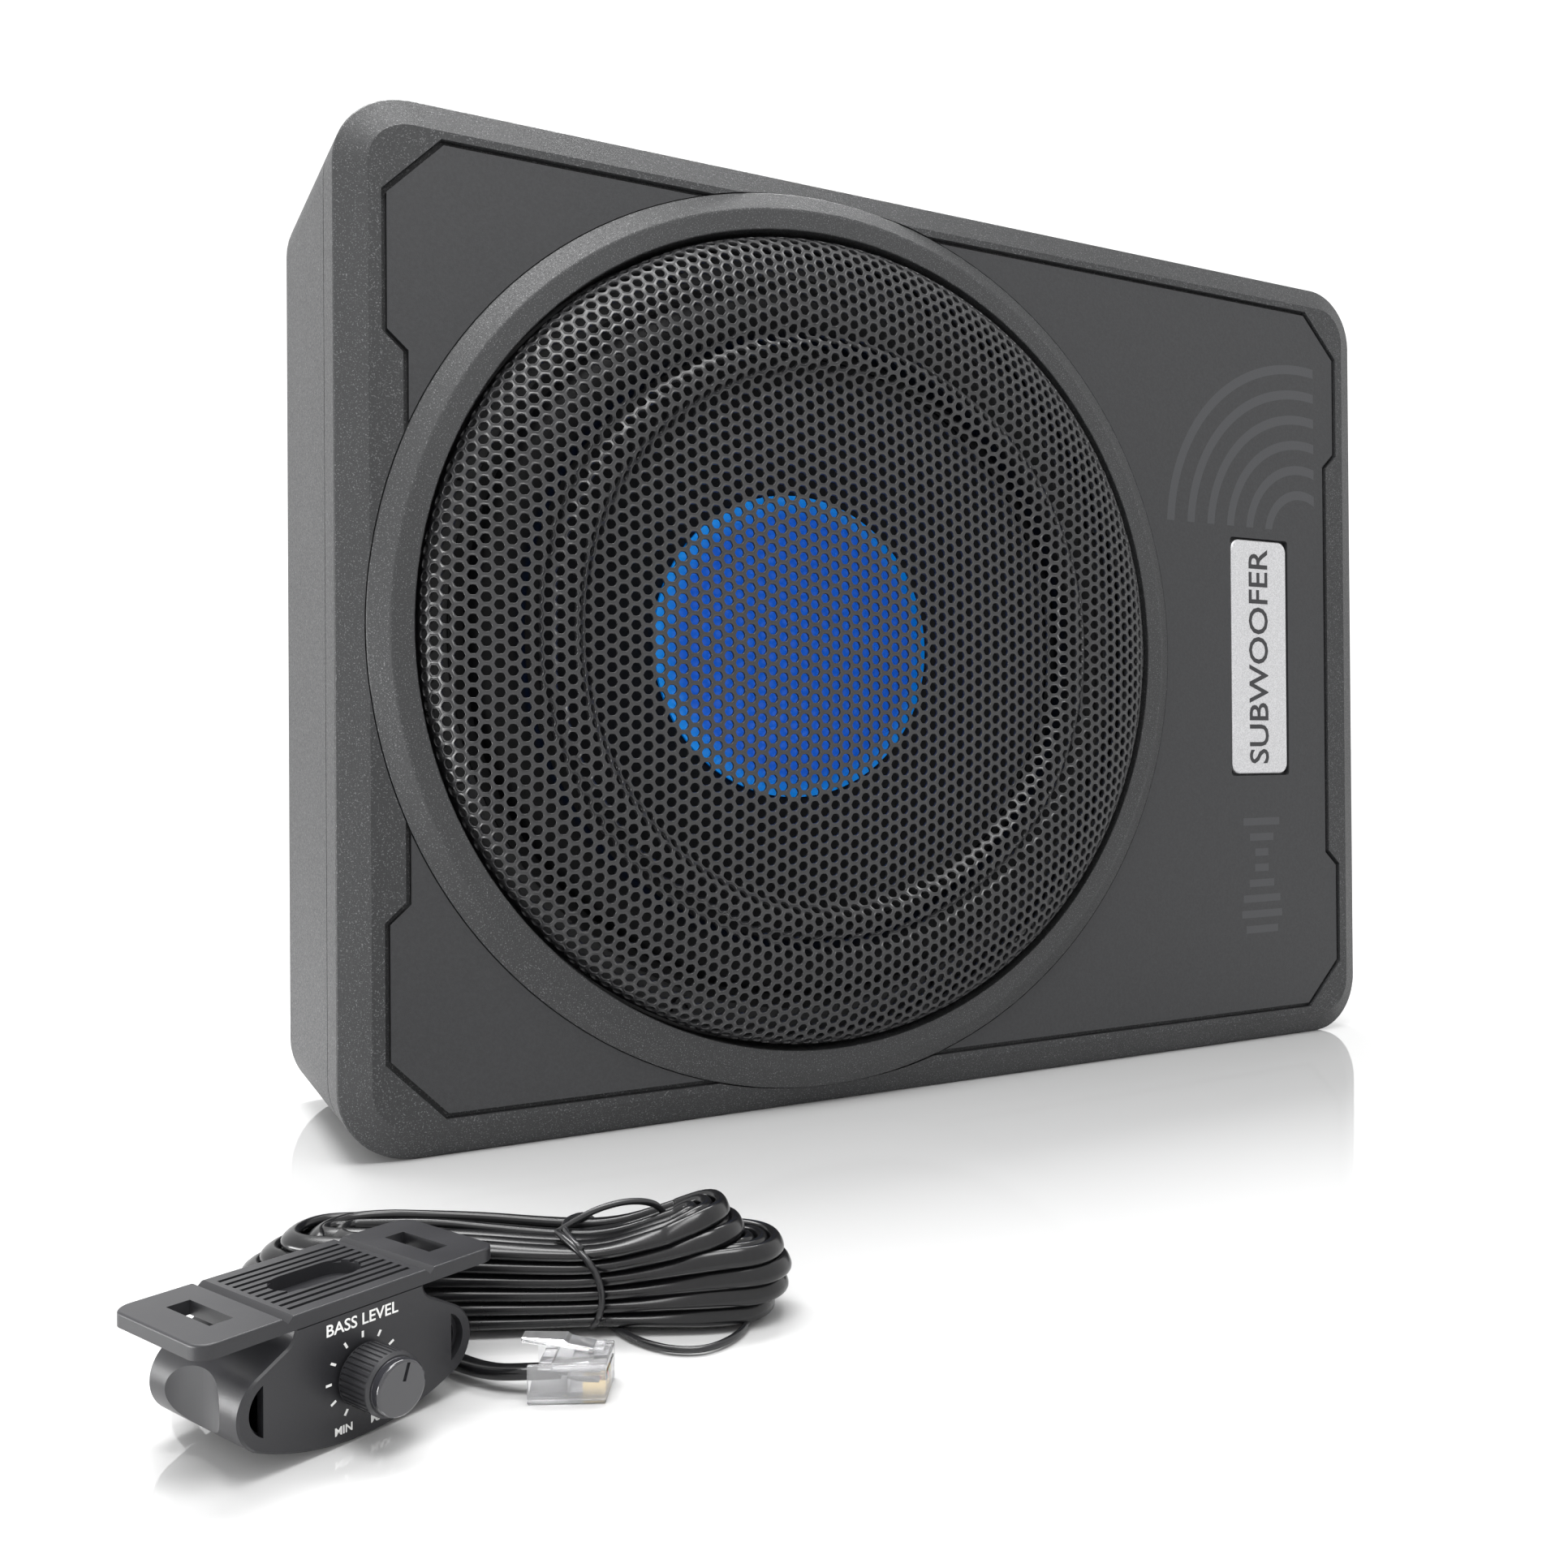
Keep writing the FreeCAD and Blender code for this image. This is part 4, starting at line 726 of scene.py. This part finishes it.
def castPaint(name, dark, light, grain, strength, roughness=0.5, **sockets):
    # sandy painted casting: coarse grain in the bump; the small bright specks in the colour are painted
    # glints of the sand grain, and the same specks also lower the roughness
    s = castSetup
    paint = Paint(name, dark, roughness, **sockets)
    coarse = paint.noise(1 / (grain * mm), 3.0, 0.6)
    fine = paint.noise(1 / (s["fine"] * mm), 2.0, 0.6)
    glintSpecks = paint.spread(paint.noise(1 / (s["speck"] * mm), 1.0), *s["glintSpecks"])
    patches = paint.spread(paint.noise(s["patches"], 2.0), 0.3, 0.7)
    # colour share: painted glint specks plus a little random tone from the patches
    share = glintSpecks * s["glintShare"] + patches * s["patchShare"]
    paint.set("Base Color", paint.mixed(share, dark, light))
    rough = paint.spread(coarse, 0.3, 0.7, roughness - 0.09, roughness + 0.1)
    paint.set("Roughness", rough - glintSpecks * s["smoother"])
    paint.bump(coarse * 0.7 + fine * 0.3, strength, s["relief"] * mm)
    return paint


def mouldedPaint(name, colour, roughness=0.45, grain=0.16, strength=0.16, **sockets):
    paint = Paint(name, colour, roughness, **sockets)
    fine = paint.noise(1 / (grain * mm), 2.0, 0.6)
    broad = paint.noise(60.0, 3.0)
    lighter = tuple(c * 1.35 + 0.002 for c in colour)
    paint.set("Base Color", paint.mixed(paint.spread(fine * 0.6 + broad * 0.4, 0.35, 0.7), colour, lighter))
    paint.set("Roughness", paint.spread(broad, 0.3, 0.7, roughness - 0.05, roughness + 0.06))
    paint.bump(fine, strength, 0.05 * mm)
    return paint


def metalPaint(name, colour, roughness, grain=0.3, stretch=(1, 1, 1), strength=0.12):
    paint = Paint(name, colour, roughness, 1.0)
    place = paint.add("ShaderNodeMapping", inputs={"Vector": paint.where(), "Scale": stretch})
    lines = paint.noise(1 / (grain * mm), 3.0, 0.6, place)
    cloud = paint.noise(45.0, 3.0)
    darker = tuple(c * 0.8 for c in colour)
    paint.set("Base Color", paint.mixed(paint.spread(lines * 0.5 + cloud * 0.5, 0.35, 0.65), darker, colour))
    paint.set("Roughness", paint.spread(cloud, 0.3, 0.7, roughness - 0.06, roughness + 0.1))
    paint.bump(lines, strength, 0.04 * mm)
    return paint


shellPaint = castPaint("sandy grey casting", (0.021, 0.0215, 0.0225), (0.12, 0.122, 0.125), 0.6, 0.75,
                       Specular_IOR_Level=0.35)
ringPaint = castPaint("sandy grey ring", (0.022, 0.0225, 0.0235), (0.13, 0.132, 0.135), 0.55, 0.7, 0.46,
                      Specular_IOR_Level=0.4)
grillePaint = mouldedPaint("black powder coat", (0.016, 0.016, 0.017), 0.32, 0.2, 0.2,
                           Specular_IOR_Level=0.5)
blackPaint = mouldedPaint("black textured plastic", (0.014, 0.014, 0.016), 0.46)
remotePaint = mouldedPaint("satin control moulding", (0.015, 0.015, 0.017), 0.38, 0.14, 0.14,
                           Specular_IOR_Level=0.4)
glossPaint = mouldedPaint("polished dark knob cap", (0.018, 0.018, 0.021), 0.1, 0.3, 0.02, Coat_Weight=0.6,
                          Coat_Roughness=0.05)
cablePaint = mouldedPaint("black vinyl sheath", (0.004, 0.004, 0.0045), 0.24, 0.9, 0.02,
                          Specular_IOR_Level=0.4)
tiePaint = mouldedPaint("black tie wire", (0.008, 0.008, 0.009), 0.26, 0.4, 0.05)
rubberPaint = mouldedPaint("soft black rubber", (0.009, 0.009, 0.009), 0.6, 0.3, 0.2)
conePaint = mouldedPaint("black coated cone", (0.003, 0.003, 0.0035), 0.5, 0.5, 0.3, Specular_IOR_Level=0.2)
steelPaint = metalPaint("zinc plated steel", (0.62, 0.62, 0.6), 0.32)
blackSteelPaint = mouldedPaint("black enamelled steel", (0.008, 0.008, 0.009), 0.4)
nickelPaint = metalPaint("bright nickel", (0.78, 0.76, 0.72), 0.16, 0.4, strength=0.04)
brassPaint = metalPaint("turned brass", (0.78, 0.56, 0.26), 0.28, 0.2, (1, 6, 1))
ferritePaint = mouldedPaint("ferrite magnet", (0.035, 0.035, 0.038), 0.6, 0.4, 0.35)
foilPaint = metalPaint("plain aluminium", (0.68, 0.69, 0.7), 0.35, 0.3, (1, 1, 8))
boardPaint = mouldedPaint("green circuit board", (0.01, 0.12, 0.05), 0.35, 0.4, 0.1)
fusePaint = mouldedPaint("blue fuse body", (0.02, 0.12, 0.62), 0.2, 0.4, 0.02, Coat_Weight=0.4)
lensPaint = mouldedPaint("light lens", (0.08, 0.3, 0.85), 0.22, 0.4, 0.02, Coat_Weight=0.3)
clothPaint = mouldedPaint("treated cloth", (0.4, 0.27, 0.08), 0.75, 0.5, 0.5)
goldPaint = metalPaint("gilt contact", (0.95, 0.72, 0.32), 0.2, 0.3, strength=0.03)
inkPaint = mouldedPaint("dark badge filling", (0.012, 0.012, 0.014), 0.35, 0.3, 0.05)
wireColours = {"black wire": (0.01, 0.01, 0.01), "red wire": (0.5, 0.015, 0.01),
               "green wire": (0.01, 0.22, 0.03), "yellow wire": (0.62, 0.45, 0.02)}
wirePaints = {name: mouldedPaint(name, colour, 0.35, 0.4, 0.03) for name, colour in wireColours.items()}
legendPaint = Paint("white legend print", (0.82, 0.82, 0.8), 0.55)
legendShade = legendPaint.mixed(legendPaint.noise(900.0), (0.74, 0.74, 0.72), (0.86, 0.86, 0.85))
legendPaint.set("Base Color", legendShade)


def windingPaint():
    paint = Paint("enamelled copper wire", (0.62, 0.26, 0.12), 0.3, 0.9)
    turns = paint.add("ShaderNodeTexWave", {"bands_direction": "Y"},
                      {"Vector": paint.where(), "Scale": 420.0, "Distortion": 0.6, "Detail": 1.0}, 1)
    paint.set("Base Color", paint.mixed(turns, (0.3, 0.1, 0.04), (0.72, 0.33, 0.16)))
    paint.bump(turns, 0.5, 0.2 * mm)
    return paint


# rim: radii over which the painted cyan rim highlight comes in; the last number is the strength of the
# painted glow
capSetup = {"rim": (39.0, 46.0), "brush": 260.0, "paintedGlow": 0.7}


def capPaint():
    # anodised blue dish with a painted highlight: lighter and cyan towards its rim; the emission is a painted
    # glow over the whole cap, stronger at the rim
    s = capSetup
    paint = Paint("anodised blue dust cap with painted rim highlight and glow", (0.0, 0.08, 0.42), 0.2, 0.6, Coat_Weight=0.3, Coat_Roughness=0.08)
    x = (paint.axis(0) - grilleSetup["centre"][0] * mm) * perMm
    z = (paint.axis(2) - grilleSetup["centre"][1] * mm) * perMm
    radius = paint.maths("POWER", x * x + z * z, 0.5)
    # mask of the painted highlight round the cap's edge
    rim = paint.spread(radius, *s["rim"])
    brushed = paint.noise(s["brush"], 3.0)
    deep = paint.mixed(paint.spread(brushed, 0.3, 0.7), (0.0, 0.05, 0.34), (0.001, 0.095, 0.5))
    paint.set("Base Color", paint.mixed(rim, deep, (0.004, 0.26, 0.7)))
    # painted glow: the cap emits light although it is no lamp, more at the painted rim highlight
    paint.set("Emission Color", paint.mixed(rim, (0.0, 0.04, 0.26), (0.0, 0.08, 0.3)))
    paint.set("Emission Strength", s["paintedGlow"])
    paint.set("Roughness", paint.spread(brushed, 0.3, 0.7, 0.16, 0.28))
    return paint


panelSetup = {
    "waves": (150.0, 178.0), "firstRing": 14.0, "ringStep": 9.0, "ringWidth": 3.2, "rings": 6,
    "ringsRight": 157.0, "ringsLow": 180.5,
    "barMiddle": 130.0, "barsLow": 38.0, "barStep": 5.4, "barWidth": 2.6, "bars": 8,
    "beat": 0.95, "beatStart": 0.4, "swing": 5.5, "barLength": 10.0, "barHalf": 0.62}


def panelPaint():
    # fine satin panel with a quiet tone-on-tone pattern: sound rings above the badge, level bars below it
    s = panelSetup
    dark, light = (0.02, 0.0205, 0.0215), (0.042, 0.043, 0.046)
    paint = Paint("satin panel", dark, 0.42, Specular_IOR_Level=0.35)
    x, z = paint.axis(0) * perMm, paint.axis(2) * perMm
    dx, dz = x - s["waves"][0], z - s["waves"][1]
    radius = paint.maths("POWER", dx * dx + dz * dz, 0.5)
    beat = paint.maths("FRACT", (radius - s["firstRing"]) / s["ringStep"])
    ring = (beat < s["ringWidth"] / s["ringStep"]) * (radius > s["firstRing"])
    ring = ring * (radius < s["firstRing"] + s["ringStep"] * s["rings"])
    ring = ring * (x < s["ringsRight"]) * (z > s["ringsLow"])
    row = (z - s["barsLow"]) / s["barStep"]
    step = paint.maths("FLOOR", row)
    inRow = paint.maths("FRACT", row) < s["barWidth"] / s["barStep"]
    length = paint.maths("SINE", step * s["beat"] + s["beatStart"]) * s["swing"] + s["barLength"]
    gap = paint.maths("ABSOLUTE", x - s["barMiddle"])
    bars = inRow * (gap < length * s["barHalf"])
    bars = bars * (z > s["barsLow"]) * (z < s["barsLow"] + s["bars"] * s["barStep"])
    pattern = paint.maths("MAXIMUM", ring, bars)
    fine = paint.noise(1 / (0.2 * mm), 2.0, 0.6)
    coarse = paint.spread(paint.noise(1 / (0.9 * mm), 3.0, 0.7), 0.35, 0.7)
    ground = paint.mixed(paint.spread(fine, 0.3, 0.75) * 0.6 + coarse * 0.4, dark, (0.036, 0.0365, 0.039))
    paint.set("Base Color", paint.mixed(pattern, ground, light))
    paint.set("Roughness", paint.spread(fine, 0.3, 0.7, 0.4, 0.5) - pattern * 0.1)
    paint.bump(fine + coarse * 0.5 + pattern * 0.15, 0.35, 0.08 * mm)
    return paint


def badgePaint():
    # bead blasted silver face
    paint = Paint("bead blasted badge", (0.45, 0.45, 0.46), 0.42, 0.55)
    pits = paint.cells(1 / (0.42 * mm))
    fine = paint.noise(1 / (0.16 * mm), 3.0, 0.7)
    share = paint.spread(fine * 0.5 + pits * 0.5, 0.25, 0.6)
    paint.set("Base Color", paint.mixed(share, (0.36, 0.36, 0.37), (0.56, 0.56, 0.57)))
    paint.set("Roughness", paint.spread(fine, 0.3, 0.7, 0.36, 0.55))
    paint.bump(pits * 0.7 + fine * 0.3, 0.5, 0.12 * mm)
    return paint


def clearPaint():
    paint = Paint("clear plug plastic", (0.99, 0.99, 1.0), 0.05, Transmission_Weight=0.9, IOR=1.5)
    paint.set("Roughness", paint.spread(paint.noise(420.0, 3.0), 0.35, 0.7, 0.03, 0.16))
    return paint


windPaint, bluePaint, facePaint = windingPaint(), capPaint(), panelPaint()
silverPaint, plugPaint = badgePaint(), clearPaint()
finishes = {
    "front_shell": shellPaint, "rear_shell": shellPaint, "shell_seal": rubberPaint,
    "shell_screws": steelPaint, "bracket_inserts": brassPaint, "face_plate": facePaint,
    "badge": silverPaint, "trim_ring": ringPaint, "grille": grillePaint, "speaker_gasket": rubberPaint,
    "speaker_frame": blackSteelPaint, "speaker_screws": blackSteelPaint, "surround": conePaint,
    "cone": conePaint, "dust_cap": bluePaint, "coil_former": foilPaint, "voice_coil": windPaint,
    "spider": clothPaint, "top_plate": steelPaint, "magnet": ferritePaint, "yoke": steelPaint,
    "speaker_terminal": blackPaint, "amplifier_board": boardPaint, "board_standoffs": brassPaint,
    "board_screws": steelPaint, "heat_sink": foilPaint, "power_transistors": blackPaint,
    "power_transformer": windPaint, "output_coil": windPaint, "capacitors": foilPaint,
    "control_panel": blackPaint, "panel_screws": steelPaint, "gain_knob": blackPaint,
    "crossover_knob": blackPaint, "boost_knob": blackPaint, "level_pots": blackPaint,
    "phase_switch": blackPaint, "phase_switch_body": blackPaint, "line_inputs": nickelPaint,
    "remote_socket": blackPaint, "speaker_socket": blackPaint, "speaker_socket_pins": nickelPaint,
    "power_terminal": blackPaint, "terminal_screws": nickelPaint, "fuse_holder": blackPaint,
    "fuses": fusePaint, "signal_lights": lensPaint, "remote_housing": remotePaint,
    "remote_front": remotePaint, "remote_bracket": remotePaint, "remote_board": boardPaint,
    "remote_pot": steelPaint, "remote_jack": blackPaint, "remote_knob": blackPaint,
    "remote_knob_cap": glossPaint, "remote_shaft": steelPaint, "remote_cable": cablePaint,
    "cable_hank": cablePaint, "cable_tie": cablePaint, "cable_plugs": plugPaint}
for name, paint in finishes.items():
    materials = nodes[name].data.materials
    if len(materials) == 0:
        materials.append(paint.material)
    for i in range(len(materials)):
        materials[i] = paint.material
print("CAD nodes painted")


# Stage: floor, sky and lamps

stageSetup = {"sky": 0.85, "exposure": 0.5, "floor": 60.0, "floorDrop": 0.0002, "lamps": (
    ("topLamp", (-250, -380, 900), (-60, -60, 60), (500, 400), 5.0),
    ("leftLamp", (-900, -60, 60), (-180, 0, 20), (500, 160), 4.2),
    ("backLamp", (-40, 260, 900), (-20, 0, 250), (900, 300), 10.0))}


def addStage(setup):
    world = bpy.data.worlds.new("sky")
    world.use_nodes = True
    world.node_tree.nodes["Background"].inputs["Color"].default_value = (1, 1, 1, 1)
    world.node_tree.nodes["Background"].inputs["Strength"].default_value = setup["sky"]
    scene.world = world
    scene.view_settings.view_transform = "Standard"
    scene.view_settings.exposure = setup["exposure"]
    for name, place, target, size, power in setup["lamps"]:
        data = bpy.data.lights.new(name, "AREA")
        data.shape = "RECTANGLE"
        data.size, data.size_y = size[0] * mm, size[1] * mm
        data.energy = power
        lamp = bpy.data.objects.new(name, data)
        place, target = Vector(place) * mm, Vector(target) * mm
        lamp.location = place
        lamp.rotation_euler = (target - place).to_track_quat("-Z", "Y").to_euler()
        scene.collection.objects.link(lamp)
    floorPaint = Paint("pale polished floor", (0.6, 0.6, 0.6), 0.05, IOR=2.3)
    shade = floorPaint.mixed(floorPaint.noise(3.0), (0.59, 0.59, 0.59), (0.62, 0.62, 0.62))
    floorPaint.set("Base Color", shade)
    size, height = setup["floor"], -setup["floorDrop"]
    corners = [(-size, -size, height), (size, -size, height), (size, size, height), (-size, size, height)]
    mesh = bpy.data.meshes.new("floor")
    mesh.from_pydata(corners, [], [(0, 1, 2, 3)])
    mesh.materials.append(floorPaint.material)
    floor = bpy.data.objects.new("floor", mesh)
    scene.collection.objects.link(floor)


addStage(stageSetup)
print("stage ready")

addGrille(grillePaint)
cable, cablePath, cableLength = addCable(cablePaint)
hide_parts("cable_hank", "remote_cable")
tie = addTie(tiePaint)
plugs = addPlugs({"clear": plugPaint, "gold": goldPaint, **wirePaints})
[tie] + plugs
print("cable, tie and plugs laid")
addControlMarks(legendPaint)
addBadgeWord(inkPaint)
addPanelWords(legendPaint)
print("legends printed")
